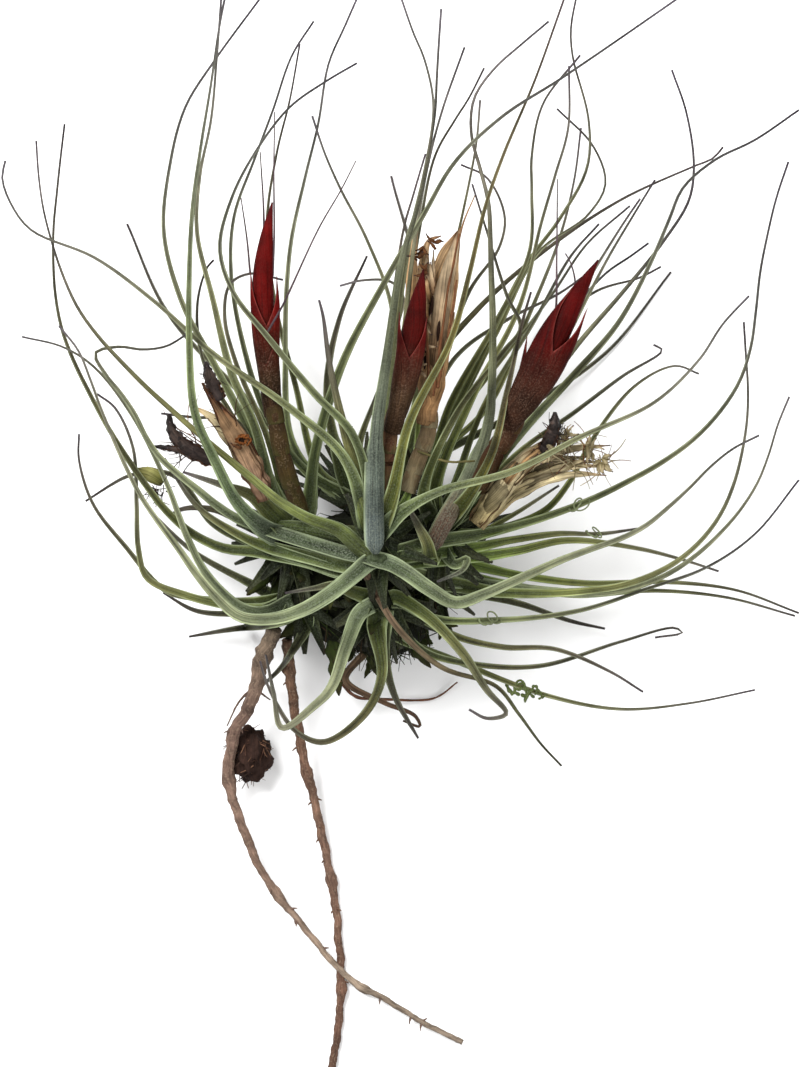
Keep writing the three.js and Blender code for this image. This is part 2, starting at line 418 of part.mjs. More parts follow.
// Raise and lower the strands, each along its line of sight, until no two pieces meet
// Of two that cross, the one drawn well above stays above, or else the one of the higher level
function settle(strands) {
  const pairs = [];
  strands.forEach((first, i) => strands.slice(i + 1).forEach((second) => {
    const sameNode = first.node === second.node;
    if (sameNode && (first.kind !== 'leaf' || second.kind !== 'leaf')) return;
    first.plan.forEach((here, i) => second.plan.forEach((there, j) => {
      if (first.free[i] + second.free[j] === 0) return;
      if (sameNode && Math.min(first.run[i], second.run[j]) < JOINED_LENGTH) return;
      const apart = Math.hypot(here[0] - there[0], here[1] - there[1]);
      if (apart > first.reach[i] + second.reach[j]) return;
      const need = first.half[i] + second.half[j] + CLEARANCE;
      const higher = first.z[i] - second.z[j];
      const firstAbove = Math.abs(higher) > ORDER_GAP ? higher > 0 : first.level >= second.level;
      if (firstAbove) pairs.push({ upper: first, u: i, lower: second, l: j, need });
      else pairs.push({ upper: second, u: j, lower: first, l: i, need });
    }));
  }));
  for (let round = 0; round < SETTLE_ROUNDS; round += 1) {
    strands.forEach((item) => {
      item.up = new Float64Array(SAMPLES);
      item.down = new Float64Array(SAMPLES);
    });
    pairs.forEach(({ upper, u, lower, l, need }) => {
      const lack = need - (upper.z[u] - lower.z[l]);
      if (lack <= 0) return;
      const share = upper.free[u] / (upper.free[u] + lower.free[l]);
      upper.up[u] = Math.max(upper.up[u], lack * share);
      lower.down[l] = Math.max(lower.down[l], lack * (1 - share));
    });
    const smoothing = round < SETTLE_ROUNDS * SMOOTHED_SHARE ? SMOOTHING : 0;
    strands.forEach((item) => {
      const up = spread(item.up);
      const down = spread(item.down);
      const moved = item.z.map((z, k) => z + item.free[k] * PUSH_STRENGTH * (up[k] - down[k]));
      item.z = moved.map((z, k) => {
        const before = moved[Math.max(0, k - 1)];
        const after = moved[Math.min(SAMPLES - 1, k + 1)];
        const eased = z + item.free[k] * smoothing * ((before + after) / 2 - z);
        return item.free[k] > 0 ? Math.max(eased, REST_LIFT) : eased;
      });
    });
  }
}

// A push at one sample fades out along its neighbours
function spread(push) {
  return push.map((own, k) => {
    let most = own;
    for (let offset = 1; offset < PUSH_REACH; offset += 1) {
      const fade = 1 - offset / PUSH_REACH;
      most = Math.max(most, fade * (push[k - offset] ?? 0), fade * (push[k + offset] ?? 0));
    }
    return most;
  });
}

const fixedStrands = [...coreStrands, ...stalkStrands, ...bractStrands, ...rootStrands, ...rootletStrands];
const allStrands = [...leafStrands, ...dryStrands, ...fixedStrands];
settle(allStrands);

// Rings along a strand: close together where it bends, far apart where it is straight
function ringPlaces(item) {
  const points = item.plan.map(([x, y], k) => placed(x, y, item.z[k]));
  const cost = [0];
  for (let k = 1; k < SAMPLES; k += 1) {
    const before = points[Math.max(0, k - 2)];
    const here = points[k - 1];
    const after = points[k];
    const first = new THREE.Vector3(...here).sub(new THREE.Vector3(...before));
    const second = new THREE.Vector3(...after).sub(new THREE.Vector3(...here));
    const turn = first.length() > 0 ? first.angleTo(second) : 0;
    const swell = item.kind === 'bract' ? Math.abs(item.widths[k] - item.widths[k - 1]) / STEP_SWELL : 0;
    cost.push(cost[k - 1] + second.length() / STEP_LENGTH + turn / STEP_TURN + swell);
  }
  const steps = Math.max(FEWEST_STEPS, Math.round(cost[SAMPLES - 1]));
  const places = [];
  for (let step = 0; step <= steps; step += 1) {
    const target = cost[SAMPLES - 1] * step / steps;
    let k = 1;
    while (k < SAMPLES - 1 && cost[k] < target) k += 1;
    const along = (target - cost[k - 1]) / (cost[k] - cost[k - 1] || 1);
    const mix = (a, b) => a + (b - a) * along;
    const before = points[k - 1];
    const after = points[k];
    places.push({
      point: new THREE.Vector3(mix(before[0], after[0]), mix(before[1], after[1]), mix(before[2], after[2])),
      width: mix(item.widths[k - 1], item.widths[k]),
    });
  }
  return places;
}

// Build a closed solid from rings of points, with its two ends capped
function solidFromRings(rings) {
  const sides = rings[0].length;
  const positions = rings.flat().flatMap((p) => [p.x, p.y, p.z]);
  const triangles = [];
  for (let ring = 0; ring < rings.length - 1; ring += 1) {
    for (let side = 0; side < sides; side += 1) {
      const next = (side + 1) % sides;
      const a = ring * sides + side;
      const b = ring * sides + next;
      const c = a + sides;
      const d = b + sides;
      if (side < sides / 2) triangles.push(a, b, d, a, d, c);
      else triangles.push(a, b, c, b, d, c);
    }
  }
  const last = (rings.length - 1) * sides;
  for (let side = 1; side < sides - 1; side += 1) {
    triangles.push(0, side + 1, side);
    triangles.push(last, last + side, last + side + 1);
  }
  return new wasm.Manifold(new wasm.Mesh({
    numProp: 3,
    vertProperties: new Float32Array(positions),
    triVerts: new Uint32Array(triangles),
  }));
}

// The solid of a strand; fat makes it larger all round, for cutting clear of it

// A strand that bends sharply has rings that cross, so it is joined up from convex lengths
function solidFromLengths(rings) {
  const corners = rings.map((ring) => ring.map((p) => [p.x, p.y, p.z]));
  return join(corners.slice(1).map((ring, i) => wasm.Manifold.hull([...corners[i], ...ring])));
}

function strandSolid(item, fat = 0) {
  const places = ringPlaces(item);
  const up = new THREE.Vector3(0, 0, 1);
  const rings = places.map(({ point, width }, i) => {
    const before = places[Math.max(0, i - 1)].point;
    const after = places[Math.min(places.length - 1, i + 1)].point;
    const along = after.clone().sub(before).normalize();
    const side = along.clone().cross(up).normalize();
    const over = side.clone().cross(along).normalize();
    const centre = point.clone();
    if (fat > 0 && i === 0) centre.addScaledVector(along, -fat);
    if (fat > 0 && i === places.length - 1) centre.addScaledVector(along, fat);
    if (item.kind === 'round') return roundRing(centre, side, over, width / 2 + fat);
    const roll = ROLL_MOST * Math.sin(item.order * ROLL_STEP) * Math.min(1, point.z / ROLL_FREE_HEIGHT);
    const across = side.clone().multiplyScalar(Math.cos(roll)).addScaledVector(over, Math.sin(roll));
    const normal = over.clone().multiplyScalar(Math.cos(roll)).addScaledVector(side, -Math.sin(roll));
    return bladeRing(centre, across, normal, width + 2 * fat, bladeDepth(item, width) + 2 * fat);
  });
  return CRUMPLED_NODES.includes(item.node) ? solidFromLengths(rings) : solidFromRings(rings);
}

function bladeDepth(item, width) {
  return item.kind === 'bract' ? BRACT_THICKNESS + BRACT_THICKENING * width : BLADE_THICKNESS;
}

function roundRing(centre, side, over, radius) {
  return Array.from({ length: ROD_SIDES }, (unused, i) => {
    const angle = -2 * Math.PI * i / ROD_SIDES;
    return centre.clone()
      .addScaledVector(side, radius * Math.cos(angle))
      .addScaledVector(over, radius * Math.sin(angle));
  });
}

// A blade's section is a flat bar, broad above and narrower below, as a channelled leaf is
function bladeRing(centre, across, normal, width, depth) {
  const corner = (sideways, upward) => centre.clone()
    .addScaledVector(across, sideways)
    .addScaledVector(normal, upward);
  const broad = width / 2;
  const narrow = broad * KEEL_SHARE;
  return [
    corner(-broad, depth / 2), corner(broad, depth / 2),
    corner(narrow, -depth / 2), corner(-narrow, -depth / 2),
  ];
}

// A rounded lump, its surface broken up by a few waves
function lump(centre, size, roughness) {
  const geometry = new THREE.SphereGeometry(1, LUMP_COLUMNS, LUMP_ROWS);
  geometry.deleteAttribute('normal');
  geometry.deleteAttribute('uv');
  const place = geometry.attributes.position;
  for (let i = 0; i < place.count; i += 1) {
    const [x, y, z] = [place.getX(i), place.getY(i), place.getZ(i)];
    const wave = Math.sin(5 * x + 3 * z) * Math.cos(4 * y - 2 * x) + 0.6 * Math.sin(9 * z + 7 * y);
    const swell = 1 + roughness * wave;
    place.setXYZ(i, centre[0] + size[0] * swell * x, centre[1] + size[1] * swell * y,
      centre[2] + size[2] * swell * z);
  }
  return solidFromGeometry(mergeVertices(geometry, WELD_REACH));
}

function solidFromGeometry(geometry) {
  return new wasm.Manifold(new wasm.Mesh({
    numProp: 3,
    vertProperties: new Float32Array(geometry.attributes.position.array),
    triVerts: new Uint32Array(geometry.index.array),
  }));
}

function join(solids) {
  return wasm.Manifold.union(solids);
}

// Keep what lies above the surface, and of that the largest body
function onSurface(solid) {
  const bodies = solid.trimByPlane([0, 0, 1], 0).decompose();
  bodies.sort((a, b) => b.volume() - a.volume());
  return bodies[0].simplify(LEAST_FACET);
}

function boxesMeet(first, second) {
  const a = first.boundingBox();
  const b = second.boundingBox();
  return [0, 1, 2].every((axis) => a.min[axis] <= b.max[axis] && b.min[axis] <= a.max[axis]);
}

// Cut a solid clear of the strands that pass through it
function cutClear(solid, strands) {
  const cutters = strands.map((item) => strandSolid(item, FAT)).filter((cutter) => boxesMeet(solid, cutter));
  return cutters.length > 0 ? solid.subtract(join(cutters)) : solid;
}

function strandsOf(node) {
  return allStrands.filter((item) => item.node === node && !coreStrands.includes(item));
}

function strandsBeside(node) {
  return allStrands.filter((item) => item.node !== node && !coreStrands.includes(item));
}

function rosetteCore(rosette, fat = 0) {
  const { at, size } = ROSETTES[rosette];
  return lump(placed(...at), size.map((value) => value + fat), CORE_ROUGHNESS);
}

// The old woody base: lumps of dead stem, and the stubs of old leaf sheaths on it
const BASE_LUMPS = [
  { at: [-2, -7, 12], size: [22, 15, 16], roughness: 0.06 },
  { at: [-6, 0, 22], size: [20, 12, 12], roughness: 0.07 },
  { at: [2, -14, 20], size: [12, 10, 13], roughness: 0.08 },
  { at: [6, 8, 18], size: [15, 9, 14], roughness: 0.06 },
];
const BASE_STUBS = [
  [5.4, [18, 16, 14], [[-9, -12], [-9.6, -20], [-9.6, -27], [-9, -34]]],
  [4.6, [18, 15, 12], [[-1, -16], [-1, -22], [0.6, -29]]],
  [4.4, [24, 22, 18], [[5, -14], [9, -21], [14, -27]]],
  [4.2, [22, 20, 18], [[-14, -10], [-18, -15], [-24, -19.6]]],
  [4.2, [20, 24, 30], [[6, 12], [9, 20], [8, 28]]],
  [3.8, [18, 14, 10], [[14, 4], [24, 8], [32, 14]]],
];

// A torn lump of bark that still holds to the side of one root
const BARK = { at: [-31, -48.6, 5.6], size: [5.2, 6.6, 5.6], roughness: 0.16 };

// The strands of a node as one solid
function grownTogether(node, extra = []) {
  return join([...extra, ...strandsOf(node).map((item) => strandSolid(item))]);
}

// One rosette: its core and all its leaves, grown together
function rosetteSolid(rosette) {
  return onSurface(grownTogether(`${rosette}_rosette`, [rosetteCore(rosette)]));
}

function baseSolid() {
  const lumps = BASE_LUMPS.map(({ at, size, roughness }) => lump(placed(...at), size, roughness));
  const stubs = BASE_STUBS.map(([width, heights, path], order) => strandSolid(strand({
    node: 'clump_base', kind: 'bract', width, heights, path, order,
  })));
  const whole = grownTogether('clump_base', [...lumps, ...stubs]);
  return onSurface(cutClear(whole.subtract(coresToClear), strandsBeside('clump_base')));
}

// A stalk stands among the leaves of its rosette
function stalkSolid(name) {
  const stalk = grownTogether(`${name}_stalk`);
  return onSurface(cutClear(stalk.subtract(coresToClear), leafStrands));
}

// The bracts overlap along a slim axis
function bractsSolid(name) {
  const node = `${name}_bracts`;
  const [, heights, path] = SPIKES[name][0];
  const axis = strandSolid(strand({
    node, kind: 'round', width: SPIKE_AXIS_WIDTH, heights, path: path.slice(0, -1), order: 0,
  }));
  return onSurface(cutClear(grownTogether(node, [axis]), [...leafStrands, ...strandsOf(`${name}_stalk`)]));
}

function rootSolid(node, besides) {
  return onSurface(cutClear(grownTogether(node), [...leafStrands, ...besides]));
}

function barkSolid() {
  const whole = lump(placed(...BARK.at), BARK.size, BARK.roughness);
  return onSurface(cutClear(whole, [...leafStrands, ...strandsOf('root_a')]));
}

function drySolid(node) {
  return onSurface(cutClear(grownTogether(node).subtract(coresToClear), strandsBeside(node)));
}

const coresToClear = join(Object.keys(ROSETTES).map((rosette) => rosetteCore(rosette, FAT)));

// Colours of the pieces
const LEAF_GREEN = 0x66783f;
const LEAF_GREY = 0x6f8463;
const BRACT_RED = 0x7a1f22;
const STALK_BROWN = 0x6e4a40;
const STRAW = 0xc9b596;
const OLD_STEM = 0x241d16;
const ROOT_BROWN = 0x5a4638;
const HUSK_BLACK = 0x1d1815;
const REMNANT_YELLOW = 0x9aa048;
const DEAD_BROWN = 0x7b684f;

const plant = new THREE.Group();

function addPiece(name, solid, colour) {
  const { vertProperties, triVerts } = solid.getMesh();
  const geometry = new THREE.BufferGeometry();
  geometry.setAttribute('position', new THREE.BufferAttribute(new Float32Array(vertProperties), 3));
  geometry.setIndex(new THREE.BufferAttribute(new Uint32Array(triVerts), 1));
  geometry.computeVertexNormals();
  const material = new THREE.MeshStandardMaterial({ color: colour, roughness: 0.8, metalness: 0 });
  const mesh = new THREE.Mesh(geometry, material);
  mesh.name = name;
  plant.add(mesh);
}

Object.keys(ROSETTES).forEach((rosette) => {
  const colour = rosette === 'centre' || rosette === 'left' ? LEAF_GREY : LEAF_GREEN;
  addPiece(`${rosette}_rosette`, rosetteSolid(rosette), colour);
});
Object.keys(SPIKES).forEach((name) => {
  addPiece(`${name}_stalk`, stalkSolid(name), STALK_BROWN);
  addPiece(`${name}_bracts`, bractsSolid(name), name === 'dry_spike' ? STRAW : BRACT_RED);
});
addPiece('root_a', rootSolid('root_a', []), ROOT_BROWN);
addPiece('root_b', rootSolid('root_b', strandsOf('root_a')), ROOT_BROWN);
addPiece('clump_base', baseSolid(), OLD_STEM);
addPiece('bark_lump', barkSolid(), OLD_STEM);
Object.entries({
  left_dry_sheath: STRAW,
  right_dry_sheath: STRAW,
  husk_left_upper: HUSK_BLACK,
  husk_left_lower: HUSK_BLACK,
  husk_right: HUSK_BLACK,
  yellow_remnant: REMNANT_YELLOW,
  dead_leaf_long: DEAD_BROWN,
  dead_leaf_short: DEAD_BROWN,
}).forEach(([node, colour]) => addPiece(node, drySolid(node), colour));

export default plant;
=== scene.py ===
import math

import bpy
import numpy as np
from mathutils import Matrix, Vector, noise


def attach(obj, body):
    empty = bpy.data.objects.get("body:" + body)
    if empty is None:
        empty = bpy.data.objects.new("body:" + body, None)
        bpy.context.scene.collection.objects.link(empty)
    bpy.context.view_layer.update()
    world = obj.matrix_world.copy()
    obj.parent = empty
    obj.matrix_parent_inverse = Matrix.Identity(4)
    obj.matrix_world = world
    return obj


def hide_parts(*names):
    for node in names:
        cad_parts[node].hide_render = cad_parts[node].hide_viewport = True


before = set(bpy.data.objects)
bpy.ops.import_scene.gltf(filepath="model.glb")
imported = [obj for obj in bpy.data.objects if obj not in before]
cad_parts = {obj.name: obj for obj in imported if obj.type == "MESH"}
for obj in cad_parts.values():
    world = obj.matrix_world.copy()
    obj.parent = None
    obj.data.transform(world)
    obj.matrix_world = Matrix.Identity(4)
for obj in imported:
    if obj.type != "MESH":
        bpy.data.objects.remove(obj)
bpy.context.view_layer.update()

# Looks of a picked clump of a small air plant, lying on its back on a pale surface.
# Lengths are in millimetres up to the moment that a mesh is made.
# +Z is up from the surface and +Y runs from the roots to the leaf tips.
MM = 0.001

# Paths are drawn in plan as seen from a point straight above, at the crown's height
VIEW_CENTRE = np.array([6.25, 6.6])
VIEW_DISTANCE = 900
CROWN_HEIGHT = 46

# How strands are sampled and kept clear of each other, as in the solid plant
SAMPLES = 40
CURVE_DIVISIONS = 400
CLEARANCE = 0.45
ORDER_GAP = 6
SETTLE_ROUNDS = 90
SMOOTHED_SHARE = 0.6
SMOOTHING = 0.25
PUSH_STRENGTH = 0.6
PUSH_REACH = 6
ROOTED_LENGTH = 10
JOINED_LENGTH = 22
ROOT_DEPTH = 0.5
ROLLED_SHARE = 0.24
ROLLED_LEAST = 0.5
SNUG_SHARE = 0.06
SNUG_LEAST = 0.3
REACH_SHARE = 0.55
REST_LIFT = 0.32
CORE_STRAND_SHARE = 0.4

# Widths of the solid plant's leaves, bracts and roots
SOLID_TIP_WIDTH = 0.75
TAPER_START = 0.35
TAPER_LENGTH = 75
TAPER_LEAST = 1
TAPER_MOST = 2.1
SHEATH_LENGTH = 9
SHEATH_FLARE = 0.7
BRACT_TAPER = 0.8
BRACT_BASE_SHARE = 0.5
BRACT_SWELL = 1.9
ROOT_TAPER = 2.2
KNOT_SIZE = 0.9
KNOT_SPACING = 26
KNOT_SHARPNESS = 12

# How far strands roll about their own path
ROLL_MOST = 0.42
ROLL_STEP = 2.4
ROLL_FREE_HEIGHT = 8

# The plant's parts, with their paths in plan and their heights at base, middle and tip
LEAVES = [
    ("centre", "grey", 3.2, (50, 66, 54), [(-3, 14), (-8, 26), (-22, 38.5), (-40, 51.2), (-55, 64.5),
     (-70, 75.5), (-86, 82.5), (-91, 89), (-93.2, 95.5), (-92.4, 99.8)]),
    ("centre", "green", 3.2, (50, 58, 50), [(-8, 7), (-20, 12), (-34, 23), (-47, 34), (-62, 48),
     (-74, 62.5), (-80.5, 78.5), (-83.5, 91), (-84.7, 104.8)]),
    ("left", "olive", 3, (34, 38, 40), [(-28, 2), (-40, 3.5), (-50, 10), (-60, 22.5), (-70, 39),
     (-78.5, 58.5), (-80.5, 78), (-79.2, 95), (-77.6, 109)]),
    ("left", "silver", 3.8, (37, 74, 70), [(-26, 7), (-34, 14), (-40, 25), (-45, 37), (-46.4, 55),
     (-46.4, 72), (-45.6, 88), (-43.6, 103), (-41, 119), (-38.8, 134), (-37.2, 142)]),
    ("left", "grey", 3.4, (36, 42, 52), [(-24, 11), (-30, 33), (-36, 47), (-40.5, 65), (-44.5, 82),
     (-43.8, 96), (-41, 110), (-39.6, 125), (-38.4, 141)]),
    ("left", "dusky", 3.2, (34, 34, 30), [(-23, 12), (-32, 33), (-40, 48.5), (-48.5, 65), (-52.8, 82),
     (-51.4, 98), (-47.5, 113), (-40, 125), (-29, 140), (-27.6, 142)]),
    ("left", "olive", 2.4, (34, 27, 32), [(-22, 14), (-27, 31), (-35, 50), (-37.6, 61), (-36.2, 69),
     (-31, 71.6), (-23, 70)]),
    ("left", "dark", 2.2, (33, 30, 38), [(-24, 14), (-34, 33), (-43, 50), (-44.4, 64), (-42, 73),
     (-40.3, 75)]),
    ("centre", "dusky", 3, (50, 68, 52), [(-2, 21), (-6, 32), (-15, 41.5), (-27, 56), (-35.5, 67),
     (-38.8, 78), (-36, 90), (-30.5, 101), (-21.5, 113), (-12.5, 119.5), (-4.5, 124.2)]),
    ("back", "dusky", 2.4, (19, 25, 34), [(-17, 22), (-27, 36), (-33, 54), (-36, 72), (-35.2, 86),
     (-30, 100.5), (-25.5, 112.5), (-20.8, 126), (-15.3, 134.7)]),
    ("back", "olive", 2.4, (18, 13, 9), [(-14, 22), (-20, 44), (-25, 64), (-27, 84), (-24.5, 102),
     (-21.3, 115), (-18.8, 129)]),
    ("back", "dusky", 2.6, (20, 19, 22), [(-14, 20), (-20.8, 30), (-22.4, 52), (-21.2, 78),
     (-17.5, 95.5), (-14.2, 109), (-11.6, 124), (-7.5, 133.5), (-4, 141.5)]),
    ("left", "dusky", 3.2, (38, 60, 74), [(-17, 12), (-15, 27), (-8, 49.5), (3, 70.5), (12, 86),
     (20, 99.5), (32, 111), (46, 120), (60, 129.5), (76, 140.6), (78, 142)], 57),
    ("centre", "green", 3.8, (50, 60, 70), [(-4, 20), (-8, 34), (-11.5, 50), (-13, 61), (-14, 65)]),
    ("back", "green", 2.4, (20, 24, 27), [(-4, 28), (0, 40), (3, 48)]),
    ("centre", "lavender", 6.2, (52, 66, 50), [(0, 16), (0.5, 32), (3, 50), (6.5, 74), (10.5, 88),
     (13, 100), (15, 112), (15.6, 124), (16.3, 134), (16.8, 142)]),
    ("centre", "grey", 3, (49, 47, 58), [(1, 16), (4.5, 50), (9, 82), (13, 100), (14.6, 114),
     (12.4, 125), (9.5, 132), (6.2, 141.5)]),
    ("centre", "grey", 2.6, (49, 50, 38), [(2, 16), (6, 46), (10.2, 82), (13.5, 100), (17, 113),
     (20.5, 123), (22.4, 128.2)]),
    ("back", "dark", 2.2, (20, 26, 28), [(2, 28), (6, 50), (11, 82), (15, 101), (20, 110),
     (23.5, 115.5), (27.3, 123)]),
    ("centre", "olive", 2, (50, 53, 52), [(-1, 16), (3, 52), (7, 82), (9.5, 91), (12.6, 101.5)]),
    ("centre", "pale", 2.2, (50, 42, 52), [(1, 14), (3.6, 36), (4.3, 62), (-2, 80), (-8.5, 92.5),
     (-12.5, 101.5), (-15.7, 111)]),
    ("back", "pale", 1.6, (22, 38, 40), [(1, 30), (5, 56), (7, 66), (4, 69.5), (-3, 69.9),
     (-8.8, 68.5)]),
    ("left_low", "olive", 2.6, (24, 20, 30), [(-30, -10.5), (-45, -9.5), (-52.5, -7.5), (-62.5, 3.5),
     (-70.5, 14), (-74, 25), (-74, 31.5)]),
    ("left_low", "green", 3.2, (27, 32, 40), [(-27, -12.6), (-37, -11.4), (-47, -9), (-57, -4.5),
     (-59.2, 3), (-59.6, 14), (-60.5, 28), (-65, 38), (-69.5, 41.5)]),
    ("left_low", "dark", 2.6, (25, 17, 12), [(-28, -12.4), (-36, -13.4), (-45, -12.6), (-53, -8.2)]),
    ("centre", "frost", 4.4, (51, 62, 52), [(-5, -3.5), (-12, -9), (-22, -14), (-33, -14.5), (-41, -8),
     (-50, 4), (-58, 15), (-64, 27), (-69, 39), (-74, 52), (-79, 58.5)]),
    ("left_low", "dark", 2.4, (25, 15, 8), [(-24, -9.4), (-32, -5.5), (-46, 2.5), (-57, 13)]),
    ("left_low", "frost", 3.2, (29, 40, 48), [(-27, -13), (-33, -12), (-42, -3.5), (-47, 6), (-52, 19),
     (-60, 35), (-70, 48), (-78, 53.2), (-88.3, 55.8)]),
    ("left", "frost", 3, (38, 50, 40), [(-25, 7), (-35, 10.5), (-45, 18), (-55, 27), (-61, 38),
     (-70, 51.5), (-66, 53.2), (-54, 52.8), (-42.8, 59.2)]),
    ("left", "green", 2.6, (34, 33, 30), [(-27, 3.5), (-37, 8), (-45, 14), (-53, 26)]),
    ("left", "dark", 2.6, (32, 26, 20), [(-30, 8), (-40, 12.5), (-48, 12.8), (-51, 11.5), (-56, 17)]),
    ("left", "green", 4.2, (40, 44, 42), [(-25, 10.5), (-31, 16), (-38, 18.6), (-48, 22)]),
    ("left", "dark", 2.6, (33, 22, 13), [(-28, 4), (-40, 8.8), (-50, 21), (-60, 21.5), (-74, 13.7)]),
    ("left", "olive", 1.6, (37, 39, 44), [(-27, 18), (-34.5, 34.7), (-45, 35.6), (-53.5, 36.6)]),
    ("left_low", "dark", 2.6, (23, 12, 4), [(-22, -14), (-28, -16.2), (-35, -17.2), (-46.5, -19.2)]),
    ("lower", "green", 2.6, (36, 43, 40), [(-5, -8), (-10, -6.2), (-15, -7), (-22.5, -8.3)]),
    ("lower", "frost", 4.6, (40, 44, 22), [(-3.6, -13.4), (-7, -21.4), (-10.9, -32.1), (-15, -36.4),
     (-23.3, -42), (-25.4, -33), (-27.3, -23.7)]),
    ("lower", "olive", 3.6, (38, 30, 14), [(0.3, -16), (1.6, -29.1), (-2.8, -38.6), (-12.8, -45.5),
     (-20, -42.6), (-26.6, -31.8), (-29.2, -23.7)]),
    ("lower", "dark", 3.6, (38, 28, 12), [(1.6, -15), (2.1, -23), (4.8, -33.7), (10.8, -44.6)]),
    ("left_low", "dark", 2.6, (22, 12, 5), [(-17, -16), (-21, -23.5), (-24, -27.5), (-30, -33)]),
    ("centre", "frost", 4.4, (51, 58, 50), [(5, -1.2), (13, -7), (20, -10.8), (31, -7), (48, 0.5),
     (66, 7.5), (77, 16.5), (88, 26.8), (101, 33.5)]),
    ("lower", "green", 4, (40, 44, 30), [(5, -9), (13.9, -14.6), (22.3, -23.7), (28, -32.5),
     (32.8, -38.4), (28, -39.6), (23.5, -37.4)]),
    ("lower", "dusky", 2.2, (36, 28, 26), [(7, -10.5), (14, -14.5), (32, -15), (51, -12.7), (68, -7.2),
     (83, -1.8), (95, 6.5), (106, 20)]),
    ("lower", "olive", 2.4, (34, 24, 12), [(9, -13), (20, -19), (31.9, -21.8), (45, -22.3),
     (58.7, -27.9), (67, -33)]),
    ("lower", "dark", 2.4, (33, 20, 16), [(6, -17), (12.7, -23), (25.8, -26.2), (41.8, -26.4),
     (61.3, -20.5), (75, -17), (76.8, -18.2), (70, -19.4)]),
    ("lower", "green", 2.4, (32, 14, 3), [(4, -18), (20.4, -25.3), (43, -33.9), (61.3, -37.3),
     (78.8, -35.8), (95, -32.5)]),
    ("right_low", "dark", 2.6, (23, 14, 8), [(22, -7.5), (36.8, -11.1), (49, -15.3), (57.5, -17.2)]),
    ("right", "silver", 2, (38, 44, 50), [(20, -1), (23, 0.2), (22, -2.4), (15.5, -5.5)]),
    ("centre", "grey", 3, (52, 61, 48), [(7, 12), (16, 17), (34, 22), (52, 31), (70, 39.5), (81, 50),
     (87, 59), (93.5, 66)]),
    ("right", "dusky", 2.8, (36, 44, 44), [(25, 6.3), (44, 11.3), (62, 19), (80, 30.5), (92, 46.5),
     (97, 76), (102, 96), (106.3, 106)]),
    ("right_low", "green", 3.6, (26, 32, 40), [(18, -5.6), (30, -8), (50, -8), (65, -5.5), (78, 1.5),
     (87.5, 13.5), (93, 35), (92.2, 59.5)]),
    ("right_low", "frost", 3.4, (25, 26, 32), [(16, -4.6), (24, -5.6), (40, -7.5), (60, -8), (75, -2.5),
     (88, 8.5), (96, 20), (101.5, 36), (106, 46)]),
    ("right_low", "fresh", 3.2, (24, 17, 6), [(18, -0.6), (36, -3.8), (52, -5.8), (72, -5.5),
     (90, -7.5), (106, -13.3)]),
    ("right_low", "fresh", 3, (22, 12, 3), [(16, -3.2), (32, -6), (50, -8.8), (70, -7.7), (88, -9.4),
     (105, -14)]),
    ("right", "fresh", 2.8, (34, 30, 26), [(22, 3), (34, 5), (46, 6.6), (56, 6.5), (68, 8.2)]),
    ("right", "fresh", 3, (33, 26, 14), [(22, 1), (34, 2), (48, 4.9), (65, 3), (76, 0.3), (87, -3.2)]),
    ("right", "green", 6, (44, 53, 54), [(14, 0), (13.2, 4), (10.6, 9), (7.6, 14.5)]),
    ("right", "pinkish", 4.6, (41, 54, 50), [(17, 9), (22, 17), (28, 32), (29.5, 52), (29, 74),
     (28, 92), (24.2, 105), (25, 116), (30, 123), (41, 132.5), (46.8, 137.6)]),
    ("right", "dusky", 3.6, (40, 56, 66), [(20, 11), (26, 19), (38, 33.5), (50, 46.5), (61, 59.5),
     (69, 74.5), (73.5, 85), (77, 93), (85, 100), (95, 105), (106, 112.5)]),
    ("right", "dusky", 2.8, (38, 40, 36), [(20, 12), (34, 31), (50, 53), (62, 67), (72, 79.5),
     (78.5, 90), (79.7, 99), (77.8, 112), (74.2, 122.5)]),
    ("back", "dark", 3.2, (19, 18, 14), [(8, 28), (12, 45), (26, 63), (44, 78.5), (62, 90.3),
     (80, 98.5), (84.5, 100.4), (87, 103.2)]),
    ("back", "dark", 2.4, (18, 12, 8), [(8, 26), (20, 50.5), (33, 60), (46, 66.6), (53, 71.5)]),
    ("back", "green", 2, (18, 10, 5), [(10, 24), (30, 48), (44, 66), (53, 79), (63.7, 88.5)]),
    ("right", "green", 2.2, (35, 32, 26), [(22, 14), (38, 46), (52, 68), (62, 84), (66.3, 90.3)]),
    ("right", "green", 2.2, (35, 34, 40), [(24, 13), (44, 48), (58, 75), (64.5, 86), (70, 95)]),
    ("right", "dusky", 2.2, (34, 26, 18), [(24, 12), (42, 52), (57, 71), (64, 76), (68.4, 79.2)]),
    ("right", "dark", 2.2, (34, 24, 16), [(25, 11), (40, 54), (55, 67), (66, 70.5), (71.5, 73.3)]),
    ("right", "green", 2.8, (37, 36, 30), [(14, 18), (18, 37), (30, 59), (38.6, 77), (39.2, 92),
     (39.2, 101), (42, 114), (51.3, 126.2)]),
    ("right", "green", 2.8, (37, 40, 42), [(15, 18), (24, 40), (36, 63), (41.5, 84), (45, 96),
     (48.3, 108), (48.5, 123.5)]),
    ("back", "green", 2.6, (18, 8, 3), [(12, 24), (28, 38), (38, 60), (46, 80), (49.8, 95),
     (51.5, 108)]),
    ("back", "green", 3, (20, 28, 36), [(12, 24), (24, 46), (38, 74), (46, 85), (53, 98), (53.4, 110),
     (49.4, 126), (49, 133), (50.6, 142)]),
    ("back", "green", 2.4, (18, 22, 30), [(13, 26), (30, 56), (41, 77), (53, 86), (57.6, 94),
     (54.5, 103.5), (45.5, 112.8)]),
